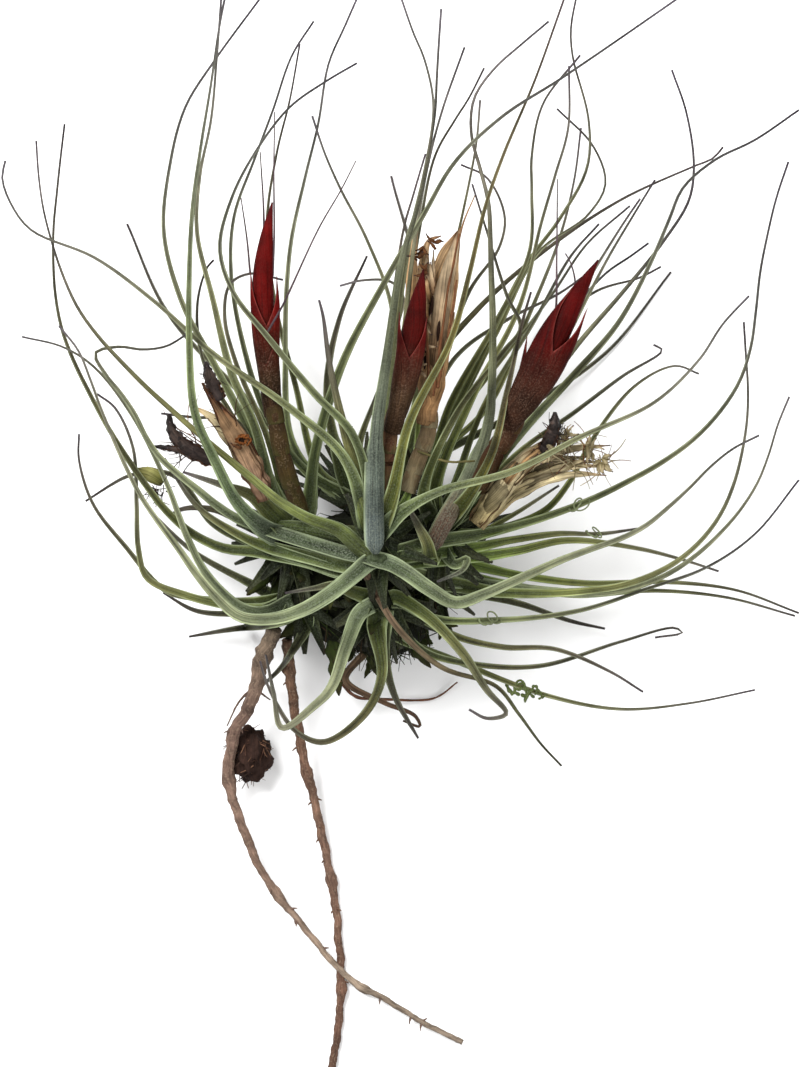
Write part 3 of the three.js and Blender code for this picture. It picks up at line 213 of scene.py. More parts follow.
    ("right", "green", 2.2, (36, 30, 24), [(19, 16), (27, 38), (40, 60), (49, 76), (56, 84)]),
    ("right", "olive", 2.6, (40, 48, 50), [(12, 16), (20, 36), (32, 52), (36.4, 58), (33, 66), (28, 82),
     (24.3, 94)]),
    ("right", "olive", 2.4, (37, 34, 28), [(13, 18), (16, 44), (23.5, 67), (31, 78), (32.4, 86),
     (28, 95.5), (21.5, 98.8)]),
    ("centre", "fresh", 2, (50, 40, 44), [(8, 16), (12, 44), (18, 70), (22, 87), (25.3, 104),
     (26.3, 115)]),
    ("centre", "amber", 3.2, (50, 60, 56), [(4, 15), (8.5, 34), (19, 55), (23.7, 72), (27.5, 88),
     (32, 101), (40, 120), (47.9, 142)]),
    ("right", "amber", 3, (44, 60, 66), [(22, 14), (29, 26), (33, 42), (37, 60), (39, 67)]),
    ("right", "green", 2.2, (38, 44, 46), [(22, 13), (36, 27), (50, 37), (62, 46), (71.8, 52.4),
     (69.6, 53.8)]),
    ("right", "fresh", 2.6, (36, 38, 34), [(24, 6), (42, 12), (49, 20), (54, 29.5), (65, 43.5),
     (75, 48.5), (81, 46.5)]),
    ("right", "fresh", 1.8, (37, 35, 32), [(22, 5), (34, 11), (46, 18.6)]),
    ("back", "dark", 3.4, (20, 20, 16), [(-8, 22), (-12, 42), (-9, 60), (-2, 76)]),
    ("back", "dark", 3, (18, 4, -1), [(0, 24), (6, 44), (10, 70), (4, 96)]),
    ("back", "dark", 3, (17, 4, -1), [(-14, 20), (-32, 40), (-52, 62), (-62, 84)]),
    ("back", "dark", 3, (17, 4, -1), [(8, 22), (34, 36), (58, 52), (74, 72)]),
]

ROSETTES = {
    "centre": {"at": (0, 4, 48), "size": (5.5, 8, 6)},
    "left": {"at": (-20, 5, 34), "size": (6, 8, 6)},
    "right": {"at": (15, 6, 36), "size": (6, 8, 6)},
    "left_low": {"at": (-18, -9.5, 24), "size": (5.5, 5, 5)},
    "right_low": {"at": (13, -4, 22), "size": (5.5, 5, 5)},
    "lower": {"at": (1.5, -10, 35), "size": (5, 5, 5)},
    "back": {"at": (-3, 14, 17), "size": (8, 6, 6)},
}

STALKS = {
    "left_spike": (3.6, (46, 56, 60), [(-18.5, 12), (-22.6, 24), (-25, 36), (-26.6, 45)]),
    "centre_spike": (3.2, (50, 53, 56), [(3, 14), (3, 24), (4, 33), (6.2, 42)]),
    "right_spike": (4.4, (46, 56, 62), [(26, 18), (30, 27), (34, 33), (36.4, 40)]),
    "dry_spike": (3.4, (44, 45, 46), [(8, 17), (10, 23), (13.5, 33), (13.6, 41)]),
}

SPIKES = {
    "left_spike": [
        (6.6, (61, 62, 60), [(-26.8, 45.8), (-28.2, 56), (-28.4, 68), (-27.4, 80), (-26.2, 89.5)], 0),
        (5.4, (59, 63, 60), [(-26.6, 46), (-28, 54), (-29.6, 62), (-31, 70), (-32, 80),
         (-33.5, 90.5)], 0.36),
        (5.2, (60, 60, 58), [(-25.8, 48), (-26, 58), (-25.6, 70), (-25.2, 82), (-25.3, 96),
         (-25.1, 112)], 0.6),
        (5.4, (58, 58, 57), [(-26.8, 46), (-29, 56), (-28.6, 70), (-27.8, 84), (-28.7, 102)], 0.3),
        (1.6, (61.4, 65.5, 56), [(-27.6, 46), (-29.2, 51), (-22.4, 65), (-14, 83), (-8.5, 92.5),
         (-4.8, 99.7)], 0.8),
    ],
    "centre_spike": [
        (6.4, (57, 58, 57), [(6.8, 42.8), (8, 52), (10, 62), (12, 71), (12.8, 75)], 0),
        (5.2, (56, 56, 55), [(6.6, 42.8), (6.6, 50), (7.4, 58), (9.4, 67)], 0),
        (5, (55, 54, 53), [(7.2, 42.8), (10.6, 50), (12.6, 60), (13, 67.5)], 0),
    ],
    "right_spike": [
        (8.2, (64, 66, 62), [(37, 40.8), (43.6, 53), (50, 64.5), (56.7, 75.5)], 0),
        (6.6, (63, 64, 62), [(36.4, 41), (38, 48), (43, 58), (51.2, 69.6)], 0),
        (6.4, (62, 61, 58), [(38, 40.6), (44.5, 47), (50, 55), (53, 62)], 0),
        (4.4, (62, 60, 56), [(37.6, 41), (42, 50), (45, 61), (45.4, 75), (45.6, 95.2)], 0.55),
        (4.2, (62, 62, 62), [(38, 41.6), (46, 56), (50, 68), (49, 74), (47.6, 76.6)], 0.3),
    ],
    "dry_spike": [
        (7, (47, 48, 50), [(13.8, 41.8), (15.6, 52), (17.6, 64), (20, 75), (22, 84), (25, 91.2)], 0.16),
        (5.6, (46, 47, 50), [(13, 41.8), (12.6, 54), (14, 67), (17, 76), (20.6, 82.2)], 0),
        (4.4, (45, 44, 47), [(12.6, 42), (10, 52), (9.4, 66), (9.6, 78), (10.6, 85.6)], 0),
        (4, (45, 46, 52), [(13.2, 42), (11.6, 58), (12, 72), (13.4, 79.6), (16.6, 81)], 0),
    ],
}

ROOTS = {
    "root_a": ((4.4, 1.4), (22, 4.4, 3.4),
        [(-25, -17), (-28, -24), (-30.5, -34), (-35, -43), (-36.6, -53), (-33.5, -66), (-27, -80),
         (-16, -94), (-7.5, -103.6), (5, -111.5), (21.8, -120.8)]),
    "root_b": ((2.8, 2), (17, 1.2, 1),
        [(-22, -20), (-21, -32), (-19, -43), (-17.5, -51), (-15, -61), (-11.5, -77), (-9.2, -92),
         (-8.5, -108), (-9.4, -119), (-11, -128), (-11.3, -131)]),
}

ROOTLETS = [
    ("root_a", 0.9, (16, 12, 3), [(-29.6, -31), (-31.6, -33), (-34, -35.5), (-37, -41.5)]),
    ("root_a", 0.9, (16, 13, 10), [(-30, -32), (-28.6, -33.2), (-26.2, -35)]),
    ("lower_rosette", 1.5, (16, 17, 15), [(32.6, -30.4), (34.6, -33.6), (36.4, -30.8), (38, -34.6),
     (40, -31.6), (41.4, -34.6), (43, -33.4)]),
    ("clump_base", 1, (15, 2.4, 2), [(-9, -30), (-5, -34), (3, -34.8), (14.7, -34.6), (20.6, -30.6)]),
]

DRY = [
    ("left_dry_sheath", "bract", 6.4, (44, 53, 56), [(-27, 15), (-32, 26), (-38, 36), (-43.5, 44.5)]),
    ("left_dry_sheath", "bract", 3, (44, 52, 58), [(-27, 15), (-31, 24), (-36, 30), (-42, 36),
     (-55, 42)]),
    ("right_dry_sheath", "bract", 5.4, (43, 54, 60), [(25, 9), (31, 17), (37, 24), (43, 28.6)]),
    ("right_dry_sheath", "bract", 3.6, (42, 50, 54), [(25.6, 8.6), (31, 15), (40, 20.4), (50, 23),
     (62.5, 22.3)]),
    ("right_dry_sheath", "bract", 3, (44, 52, 57), [(25, 9.6), (32, 18), (41, 24.6), (52, 27),
     (64, 28)]),
    ("husk_left_upper", "bract", 3.6, (57, 58.6, 60), [(-38.6, 40), (-41, 45), (-42.4, 49.6)]),
    ("husk_left_lower", "bract", 4.2, (42.6, 44, 44.6), [(-40, 24.6), (-47, 28), (-50.6, 32),
     (-51.6, 36.4)]),
    ("husk_left_lower", "bract", 2.2, (42.6, 43.6, 44), [(-41, 25.6), (-48, 27.4), (-55.4, 28.4)]),
    ("husk_right", "bract", 4, (57.6, 60.6, 61.2), [(42, 27), (44.6, 32), (45, 37)]),
    ("yellow_remnant", "bract", 3.6, (33, 34.6, 34.6), [(-53, 19.6), (-56.5, 21.5), (-60.4, 22.6)]),
    ("dead_leaf_long", "leaf", 2.4, (50, 42, 20), [(-2.3, -3.6), (5.6, -16.9), (16.6, -26.8),
     (30.3, -31.6), (36, -38.6), (41.4, -45.9), (46.6, -51.5)]),
    ("dead_leaf_short", "leaf", 2.6, (16, 16, 9), [(-1.4, -22), (-7.4, -29.9), (2.1, -35.6), (10, -39),
     (11.2, -41.6), (7, -40.2)]),
]

# Curves and strands
def run_along(points):
    """The length of a path from its start up to each of its points."""
    return np.concatenate([[0], np.cumsum(np.linalg.norm(np.diff(points, axis=0), axis=1))])


def spaced_points(points, count):
    """Points an equal length apart on a centripetal curve through the given ones."""
    known = np.array([[*p, 0.0][:3] for p in points], float)
    ends = np.vstack([2 * known[0] - known[1], known, 2 * known[-1] - known[-2]])

    def at(t):
        span = np.minimum(t.astype(int), len(known) - 2)
        w = (t - span)[:, None]
        p0, p1, p2, p3 = (ends[span + k] for k in range(4))
        d0, d1, d2 = (np.maximum(np.sum((b - a) ** 2, axis=1), 1e-9)[:, None] ** 0.25
                      for a, b in ((p0, p1), (p1, p2), (p2, p3)))
        t1 = ((p1 - p0) / d0 - (p2 - p0) / (d0 + d1) + (p2 - p1) / d1) * d1
        t2 = ((p2 - p1) / d1 - (p3 - p1) / (d1 + d2) + (p3 - p2) / d2) * d1
        c2 = -3 * p1 + 3 * p2 - 2 * t1 - t2
        c3 = 2 * p1 - 2 * p2 + t1 + t2
        return p1 + t1 * w + c2 * w ** 2 + c3 * w ** 3

    ts = np.linspace(0, 1, CURVE_DIVISIONS + 1) * (len(known) - 1)
    run = run_along(at(ts))
    return at(np.interp(np.linspace(0, run[-1], count), run, ts))


def height_at(share, heights):
    """Heights on the parabola through those at the base, the middle and the tip."""
    base, middle, tip = heights
    return (base * (1 - share) * (1 - 2 * share) + 4 * middle * share * (1 - share)
            + tip * share * (2 * share - 1))


def placed(plan, z):
    """From the plan as seen from above to the true place at a height."""
    z = np.asarray(z, float)
    scale = (1 - (z - CROWN_HEIGHT) / VIEW_DISTANCE)[..., None]
    flat = VIEW_CENTRE + (np.asarray(plan, float)[..., :2] - VIEW_CENTRE) * scale
    return np.concatenate([flat, z[..., None]], axis=-1)


def true_place(at):
    return placed(at[:2], at[2])


def unplaced(points, z):
    """From true places at a height back to the plan."""
    scale = 1 - (z - CROWN_HEIGHT) / VIEW_DISTANCE
    return [VIEW_CENTRE + (p - VIEW_CENTRE) / scale for p in points]


def plan_of(points):
    """The plan path of true places, taken at their mean height."""
    return unplaced(points[:, :2], points[:, 2].mean())


def drawn_out(length):
    """How strongly a leaf tapers: long leaves are drawn out more."""
    return min(TAPER_MOST, max(TAPER_LEAST, TAPER_START + length / TAPER_LENGTH))


def solid_width(kind, share, width, length, awn=0):
    """Widths along a strand of the solid plant."""
    if kind == "leaf":
        taper = SOLID_TIP_WIDTH + (width - SOLID_TIP_WIDTH) * (1 - share) ** drawn_out(length)
        return taper + SHEATH_FLARE * width * np.exp(-(share * length / SHEATH_LENGTH) ** 2)
    if kind == "bract":
        along = np.minimum(1, share / (1 - awn))
        swell = BRACT_BASE_SHARE + BRACT_SWELL * along
        return SOLID_TIP_WIDTH + width * (1 - along) ** BRACT_TAPER * swell
    return width(share) if callable(width) else np.full_like(share, width)


def eased(values, count):
    """A smooth curve near a row of values, at so many places."""
    soft = np.array(values, float)
    for _ in range(2):
        soft[1:-1] = (soft[:-2] + 2 * soft[1:-1] + soft[2:]) / 4
    ends = np.concatenate([[2 * soft[0] - soft[1]], soft, [2 * soft[-1] - soft[-2]]])
    t = np.linspace(0, len(values) - 1, count)
    span = np.minimum(t.astype(int), len(values) - 2)
    w = t - span
    a, b, c, d = (ends[span + k] for k in range(4))
    return (b + w * (c - a) / 2 + w ** 2 * (a - 2.5 * b + 2 * c - d / 2)
            + w ** 3 * ((d - a) / 2 + 1.5 * (b - c)))


class Strand:
    """A path with widths and heights: a leaf, a bract, a stalk, a root or a core."""

    def __init__(self, node, kind, width, heights, path, order=0, awn=0, fixed=False, snug=False,
                 level=None, style=None):
        self.node, self.kind, self.width, self.path = node, kind, width, path
        self.order, self.style = order, style
        self.level = heights[1] if level is None else level
        self.plan = spaced_points(path, SAMPLES)[:, :2]
        self.length = float(np.sum(np.linalg.norm(np.diff(self.plan, axis=0), axis=1)))
        share = np.linspace(0, 1, SAMPLES)
        widths = solid_width(kind, share, width, self.length, awn)
        self.z = height_at(share, heights)
        self.run = share * self.length
        if kind == "round":
            self.half = widths / 2
        elif snug:
            self.half = SNUG_SHARE * widths + SNUG_LEAST
        else:
            self.half = ROLLED_SHARE * widths + ROLLED_LEAST
        self.reach = widths / 2 + REACH_SHARE * self.length / (SAMPLES - 1)
        self.free = np.zeros(SAMPLES) if fixed else np.minimum(1, self.run / ROOTED_LENGTH)

    def points(self, count):
        """The settled path, smoothly, as so many points."""
        return placed(spaced_points(self.path, count)[:, :2], eased(self.z, count))

    def roll(self, z):
        most = ROLL_MOST * math.sin(self.order * ROLL_STEP)
        return most * np.minimum(1, z / ROLL_FREE_HEIGHT)


def scrap(width, heights, path, order, style=None):
    """A short loose strand, which isn't settled."""
    return Strand("scrap", "leaf" if style else "bract", width, heights, path, order, style=style)


def thread_points(path, heights, count):
    return scrap(1, heights, path, 0).points(count)


def root_width(top, end):
    def width(share):
        knot = KNOT_SIZE * np.maximum(0, np.sin(share * KNOT_SPACING)) ** KNOT_SHARPNESS
        return end + (top - end) * (1 - share) ** ROOT_TAPER + knot
    return width


def leaf_strand(order, rosette, style, width, heights, path, level=None):
    """A leaf starts inside its rosette's core, on the side that it leaves by."""
    at, size = (np.array(ROSETTES[rosette][key], float) for key in ("at", "size"))
    rise = max(-1, min(1, (heights[0] - at[2]) / size[2])) * size[2] * ROOT_DEPTH
    away = np.array(path[0]) - at[:2]
    start = at[:2] + away / (np.linalg.norm(away) or 1) * size[:2] * ROOT_DEPTH
    return Strand(f"{rosette}_rosette", "leaf", width, (at[2] + rise, *heights[1:]), [start, *path], order,
                  level=heights[1] if level is None else level, style=style)


def core_strand(rosette, at, size):
    reach = size[1] * CORE_STRAND_SHARE
    return Strand(f"{rosette}_rosette", "round", size[0] * 2, (at[2],) * 3,
                  [(at[0], at[1] - reach), (at[0], at[1] + reach)], fixed=True)


leaf_strands = [leaf_strand(order, *row) for order, row in enumerate(LEAVES)]
dry_strands = [Strand(*row, order, snug=True) for order, row in enumerate(DRY)]
core_strands = [core_strand(name, **row) for name, row in ROSETTES.items()]
stalk_strands = {name: Strand(f"{name}_stalk", "round", *row, fixed=True) for name, row in STALKS.items()}
bract_strands = {name: [Strand(f"{name}_bracts", "bract", *row[:3], order, awn=row[3], fixed=True)
                        for order, row in enumerate(rows)] for name, rows in SPIKES.items()}
root_strands = {node: Strand(node, "round", root_width(*ends), heights, path, fixed=True)
                for node, (ends, heights, path) in ROOTS.items()}
rootlet_strands = [Strand(node, "round", *row, fixed=True) for node, *row in ROOTLETS]


def settle(strands):
    """Raise and lower the strands, each along its line of sight, until no two pieces meet.

    Of two that cross, the one drawn well above stays above, or else the one of the higher level.
    """
    uppers, lowers, needs = [], [], []
    for i, first in enumerate(strands):
        for j, second in enumerate(strands[i + 1:], i + 1):
            same = first.node == second.node
            if same and (first.kind != "leaf" or second.kind != "leaf"):
                continue
            apart = np.linalg.norm(first.plan[:, None] - second.plan[None], axis=2)
            near = apart < first.reach[:, None] + second.reach[None]
            near &= first.free[:, None] + second.free[None] > 0
            if same:
                near &= np.minimum(first.run[:, None], second.run[None]) >= JOINED_LENGTH
            a, b = np.nonzero(near)
            higher = first.z[a] - second.z[b]
            first_above = np.where(np.abs(higher) > ORDER_GAP, higher > 0, first.level >= second.level)
            one, other = i * SAMPLES + a, j * SAMPLES + b
            uppers.append(np.where(first_above, one, other))
            lowers.append(np.where(first_above, other, one))
            needs.append(first.half[a] + second.half[b] + CLEARANCE)
    uppers, lowers, needs = (np.concatenate(rows) for rows in (uppers, lowers, needs))
    free = np.array([item.free for item in strands])
    share = free.ravel()[uppers] / (free.ravel()[uppers] + free.ravel()[lowers])
    z = np.array([item.z for item in strands])
    for turn in range(SETTLE_ROUNDS):
        lack = np.maximum(0, needs - (z.ravel()[uppers] - z.ravel()[lowers]))
        up, down = np.zeros(z.size), np.zeros(z.size)
        np.maximum.at(up, uppers, lack * share)
        np.maximum.at(down, lowers, lack * (1 - share))
        push = spread(up.reshape(z.shape)) - spread(down.reshape(z.shape))
        moved = z + free * PUSH_STRENGTH * push
        before = np.concatenate([moved[:, :1], moved[:, :-1]], axis=1)
        after = np.concatenate([moved[:, 1:], moved[:, -1:]], axis=1)
        smoothing = SMOOTHING if turn < SETTLE_ROUNDS * SMOOTHED_SHARE else 0
        smoothed = moved + free * smoothing * ((before + after) / 2 - moved)
        z = np.where(free > 0, np.maximum(smoothed, REST_LIFT), smoothed)
    for item, row in zip(strands, z):
        item.z = row


def spread(push):
    """A push at one sample fades out along its neighbours."""
    most = push.copy()
    for offset in range(1, PUSH_REACH):
        fade = 1 - offset / PUSH_REACH
        most[:, offset:] = np.maximum(most[:, offset:], fade * push[:, :-offset])
        most[:, :-offset] = np.maximum(most[:, :-offset], fade * push[:, offset:])
    return most


settle([*leaf_strands, *dry_strands, *core_strands, *stalk_strands.values(), *sum(bract_strands.values(), []),
        *root_strands.values(), *rootlet_strands])


# Colours
def colour(red, green, blue):
    """A linear colour from the usual 0 to 255 values."""
    share = np.array([red, green, blue], float) / 255
    return np.where(share <= 0.04045, share / 12.92, ((share + 0.055) / 1.055) ** 2.4)


def colours(*rows):
    return [colour(*row) for row in rows]


def blended(places, stops, share):
    """Colours along a strand: stops stand at the given places from 0 to 1."""
    return np.stack([np.interp(share, places, [stop[k] for stop in stops]) for k in range(3)], axis=-1)


def mixed(base, other, share):
    """A colour with a share of another laid over it."""
    return base * (1 - share[..., None]) + other * share[..., None]


# Each leaf style: colours at the sheath, low on the blade, half way, near the tip and at the tip
STYLE_PLACES = [0, 0.09, 0.38, 0.72, 1]
STYLES = {
    "silver": colours((84, 94, 76), (84, 98, 64), (84, 92, 56), (70, 70, 56), (54, 50, 52)),
    "lavender": colours((62, 70, 65), (62, 70, 60), (66, 70, 48), (62, 60, 46), (56, 52, 54)),
    "pinkish": colours((66, 50, 38), (78, 84, 62), (70, 72, 48), (68, 64, 54), (60, 56, 58)),
    "frost": colours((82, 92, 66), (94, 104, 72), (102, 106, 76), (84, 82, 64), (60, 56, 56)),
    "dusky": colours((74, 84, 46), (82, 92, 52), (78, 78, 54), (50, 46, 46), (44, 39, 44)),
    # Near-black styles of the short inner leaves: painted shade deep in the crowns
    "deep_shade": colours((18, 23, 7), (23, 30, 8), (27, 32, 11), (27, 30, 14), (25, 26, 14)),
    "shaded_short": colours((24, 32, 9), (32, 42, 11), (38, 43, 16), (38, 40, 20), (33, 33, 18)),
    "grey": colours((78, 90, 58), (84, 94, 54), (88, 88, 56), (72, 69, 58), (54, 50, 52)),
    "green": colours((74, 84, 40), (80, 90, 40), (84, 84, 46), (66, 63, 50), (52, 46, 48)),
    "fresh": colours((96, 114, 52), (104, 126, 52), (106, 112, 58), (80, 78, 54), (60, 56, 52)),
    "olive": colours((66, 76, 34), (66, 72, 30), (70, 66, 38), (58, 52, 42), (48, 42, 44)),
    "amber": colours((82, 86, 42), (72, 74, 24), (68, 58, 20), (58, 48, 32), (50, 42, 42)),
    "pale": colours((78, 88, 54), (86, 98, 56), (90, 92, 58), (80, 76, 60), (60, 56, 58)),
    "dark": colours((56, 66, 30), (54, 62, 26), (60, 57, 34), (54, 49, 40), (46, 40, 40)),
    "dead_leaf_long": colours((74, 60, 44), (78, 64, 48), (70, 62, 44), (60, 62, 40), (50, 50, 40)),
    "dead_leaf_short": colours((46, 38, 26), (60, 48, 34), (64, 50, 36), (60, 46, 34), (50, 40, 32)),
}
SCURFY_STYLES = ("silver", "pale", "grey", "lavender", "pinkish", "frost")
SHADED_STYLES = ("deep_shade", "shaded_short")
MARGIN_COLOUR = colour(142, 154, 118)
SHADED_MARGIN = colour(58, 64, 38)
# The channel's deep green, darkened further as painted shade in the groove
CHANNEL_SHADE_GREEN = colour(20, 32, 6)
LEAF_LIGHT = np.array([1.38, 1.32, 1.5])
# How much darker a leaf is at its foot, and over what length that fades
FOOT_SHADE = 0.3
FOOT_LENGTH = 13


# Meshes, whose points all stay at least a little over the surface
FLOOR_GAP = 0.05


class Piece:
    """A growing mesh, with a tone and a place on the plant stored at every point."""

    def __init__(self, name):
        self.name = name
        self.points, self.tones, self.places, self.quads, self.triangles = [], [], [], [], []
        self.count = 0

    def add(self, points, tones, places, quads, triangles):
        corners = np.vstack([quads[:, :3], quads[:, [0, 2, 3]], triangles])
        a, b, c = (points[corners[:, k]] for k in range(3))
        if np.sum(a * np.cross(b, c)) < 0:
            quads, triangles = quads[:, ::-1], triangles[:, ::-1]
        self.points.append(points)
        self.tones.append(tones)
        self.places.append(places)
        self.quads.append(quads + self.count)
        self.triangles.append(triangles + self.count)
        self.count += len(points)

    def sweep(self, rings, tones, scurf, places):
        """Rings of points joined into a closed skin, with its two ends drawn together."""
        tones = np.broadcast_to(tones, rings.shape)
        scurf = np.broadcast_to(scurf, rings.shape[:2])[..., None]
        tones = np.concatenate([tones, scurf], axis=-1)
        rings = np.concatenate([rings[..., :2], np.maximum(rings[..., 2:], FLOOR_GAP)], axis=-1)
        count, sides = rings.shape[:2]
        i, j = np.meshgrid(np.arange(count - 1), np.arange(sides), indexing="ij")
        after = (j + 1) % sides
        quads = np.stack([i * sides + j, i * sides + after, (i + 1) * sides + after, (i + 1) * sides + j], -1)
        first, last = count * sides, count * sides + 1
        side = np.arange(sides)
        start = np.stack([np.full(sides, first), (side + 1) % sides, side], -1)
        finish = np.stack([np.full(sides, last), (count - 1) * sides + side,
                           (count - 1) * sides + (side + 1) % sides], -1)

        def whole(values):
            flat = values.reshape(count * sides, -1)
            return np.vstack([flat, values[0].mean(axis=0), values[-1].mean(axis=0)])

        self.add(whole(rings), whole(tones), whole(places), quads.reshape(-1, 4), np.vstack([start, finish]))

    def build(self, material, nodes):
        points = np.vstack(self.points) * MM
        quads, triangles = np.vstack(self.quads), np.vstack(self.triangles)
        mesh = bpy.data.meshes.new(self.name)
        mesh.vertices.add(len(points))
        mesh.vertices.foreach_set("co", points.ravel())
        mesh.loops.add(quads.size + triangles.size)
        mesh.loops.foreach_set("vertex_index", np.concatenate([quads.ravel(), triangles.ravel()]))
        mesh.polygons.add(len(quads) + len(triangles))
        starts = np.concatenate([np.arange(len(quads)) * 4, quads.size + np.arange(len(triangles)) * 3])
        mesh.polygons.foreach_set("loop_start", starts)
        mesh.polygons.foreach_set("use_smooth", np.ones(len(starts), bool))
        mesh.update(calc_edges=True)
        tone = mesh.attributes.new("tone", "FLOAT_COLOR", "POINT")
        tone.data.foreach_set("color", np.vstack(self.tones).ravel())
        place = mesh.attributes.new("place", "FLOAT_VECTOR", "POINT")
        place.data.foreach_set("vector", np.vstack(self.places).ravel())
        mesh.validate()
        mesh.materials.append(material)
        thing = bpy.data.objects.new(self.name, mesh)
        bpy.context.scene.collection.objects.link(thing)
        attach(thing, "root")
        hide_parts(*nodes)


def frames(points):
    """The level way across a path and the way over it, at every point."""
    along = np.gradient(points, axis=0)
    along /= np.linalg.norm(along, axis=1)[:, None]
    side = np.cross(along, (0, 0, 1))
    side /= np.maximum(np.linalg.norm(side, axis=1), 1e-6)[:, None]
    return side, np.cross(side, along)


def wavering(share, pace, *seeds):
    """Smooth noise along a strand."""
    return np.array([noise.noise(Vector((s * pace, *seeds))) for s in share])


def two_sided(upper, lower):
    """Values of a skin's upper side, then those of its lower side."""
    return np.concatenate([upper, lower], axis=1)


# How far apart the grain of a skin's two sides is taken
SIDES_APART = 40


def skin_places(across, run, seed):
    """Where each point of a skin is: across in millimetres, along in millimetres, and a seed."""
    both = two_sided(across, across[:, ::-1] + SIDES_APART)
    return np.stack([both, np.broadcast_to(run[:, None], both.shape), np.full_like(both, seed)], axis=-1)


BLADE_ACROSS = 11
BLADE_EDGE_SHARE = 0.25
BLADE_EDGE_POWER = 0.6


def blade_rings(points, widths, rolls, curl, thickness, way):
    """A channelled blade: curl is the half angle of its section and way is 1 where the channel is up."""
    side, over = frames(points)
    cosine, sine = np.cos(rolls)[:, None], np.sin(rolls)[:, None]
    across = side * cosine + over * sine
    normal = over * cosine - side * sine
    u = np.linspace(-1, 1, BLADE_ACROSS)
    angle = curl[:, None] * u
    x = widths[:, None] / 2 * np.sin(angle) / np.sin(curl)[:, None]
    deep = widths[:, None] / 2 * (1 - np.cos(angle)) / np.sin(curl)[:, None]
    deep = way * (deep - deep.max(axis=1, keepdims=True) / 2)
    middle = points[:, None] + across[:, None] * x[..., None] + normal[:, None] * deep[..., None]
    out = normal[:, None] * np.cos(angle)[..., None] - way * across[:, None] * np.sin(angle)[..., None]
    swell = BLADE_EDGE_SHARE + (1 - BLADE_EDGE_SHARE) * (1 - u ** 2) ** BLADE_EDGE_POWER
    half = (thickness[:, None] / 2 * swell)[..., None]
    return two_sided(middle + out * half, (middle - out * half)[:, ::-1]), u


# Inner ends of leaves that reach over their rosette to the crown, as plan places with heights,
# and how far along the leaf its own path takes over
INNER_ENDS = {
    1: ([(-0.8, 1, 50.6), (-3.6, 2.6, 50.8)], 5),
    2: ([(-3.4, -3.4, 44), (-8, -3.4, 44), (-17, -0.4, 41)], 6),
    15: ([(0.2, 1.5, 54.2), (0.1, 6, 55), (0, 11, 55.6)], 10),
    25: ([(1.6, 0.6, 50.4), (-1.2, -0.4, 50.8)], 4),
    28: ([(-1.4, 0.6, 49.6), (-6, 1.2, 49.6), (-14.5, 3.6, 46.5)], 6),
    29: ([(-2.4, -1.2, 47), (-7, -1.6, 47), (-16, 0.6, 43.5)], 6),
    30: ([(-3, 3.4, 45.6), (-9, 6, 45), (-19, 8, 42)], 8),
    32: ([(-3.2, -2.6, 45), (-8, -2.8, 45), (-17.4, 0, 42)], 8),
    40: ([(-2.2, 0.9, 51.2), (0.8, -0.2, 51.8), (3.4, -0.9, 51.4)], 6),
    49: ([(6, 2.4, 49), (14, 4.6, 45)], 8),
    50: ([(5, -2, 44), (11, -4.4, 38)], 6),
    51: ([(6, -0.4, 42), (10, -3.4, 35)], 6),
    54: ([(5.6, 0.6, 48), (13, 1.8, 43)], 6),
    55: ([(5.4, -1, 47), (13, 0, 42)], 6),
    57: ([(14.2, 2, 43.5), (15.8, 6, 46), (18.2, 10.6, 47)], 10),
}
OWN_PATH_STEP = 4


def drawn_path(item, rings):
    """A leaf's settled path, with its inner end before it, and the run along its own path."""
    own = item.points(rings)
    if item.order not in INNER_ENDS:
        return own, np.linspace(0, item.length, rings)
    inner, join = INNER_ENDS[item.order]
    first = math.ceil(join / item.length * (rings - 1))
    inner = [true_place(at) for at in inner]
    whole = spaced_points(np.vstack([inner, own[first::OWN_PATH_STEP]]), rings)
    run = run_along(whole)
    before = run_along(np.vstack([inner, own[first]]))[-1]
    return whole, (run - before + join) * item.length / (run[-1] - before + join)


# Leaves with a look of their own: width, flare of the sheath, and how wide and how far the sheath is held
LEAF_LOOKS = {
    15: (4.9, 0.0, 5.3, 21),
    16: (3.0, 0.0, 0, 0),
    25: (4.8, -0.08, 0, 0),
    36: (4.6, 0.0, 0, 0),
    40: (4.8, -0.08, 0, 0),
    41: (4.0, 0.0, 0, 0),
    56: (4.2, 0.1, 0, 0),
    57: (4.2, 0.0, 5.0, 22),
}
HELD_FADE = 7
ROUNDED_END = 3.2
END_WIDTH_START = 0.3
LEAF_RINGS = 64
LEAF_TIP_WIDTH = 0.48
LEAF_THICKNESS = 0.55
LEAF_THICKNESS_SHARE = 0.62
INNER_FLARE = 0.3
WAVER_SIZE = 0.08
WAVER_PACE = 5
# Half the angle of a leaf's section at its foot, and what its tip and its sheath add to it
FOOT_CURL = 0.55
TIP_CURL = 0.75
SHEATH_CURL = 0.5
TWIST_MOST = 0.5
TWIST_FROM = 0.25
LIGHT_CHANGE = 0.16
# How pale the margins are, and how dark the channel is with its own deeper green and painted shade, above and
# below
PALE_SHARE = 0.75
PALE_BELOW = 0.7
PALE_SHARPNESS = 9
CHANNEL_SHADE_SHARE = 0.78
CHANNEL_SHADE_BACK = 0.25
# How scaly a leaf is all over, what its foot adds, and how far up that reaches
SCURF = 0.25
FOOT_SCURF = 0.6
SCURF_LENGTH = 35


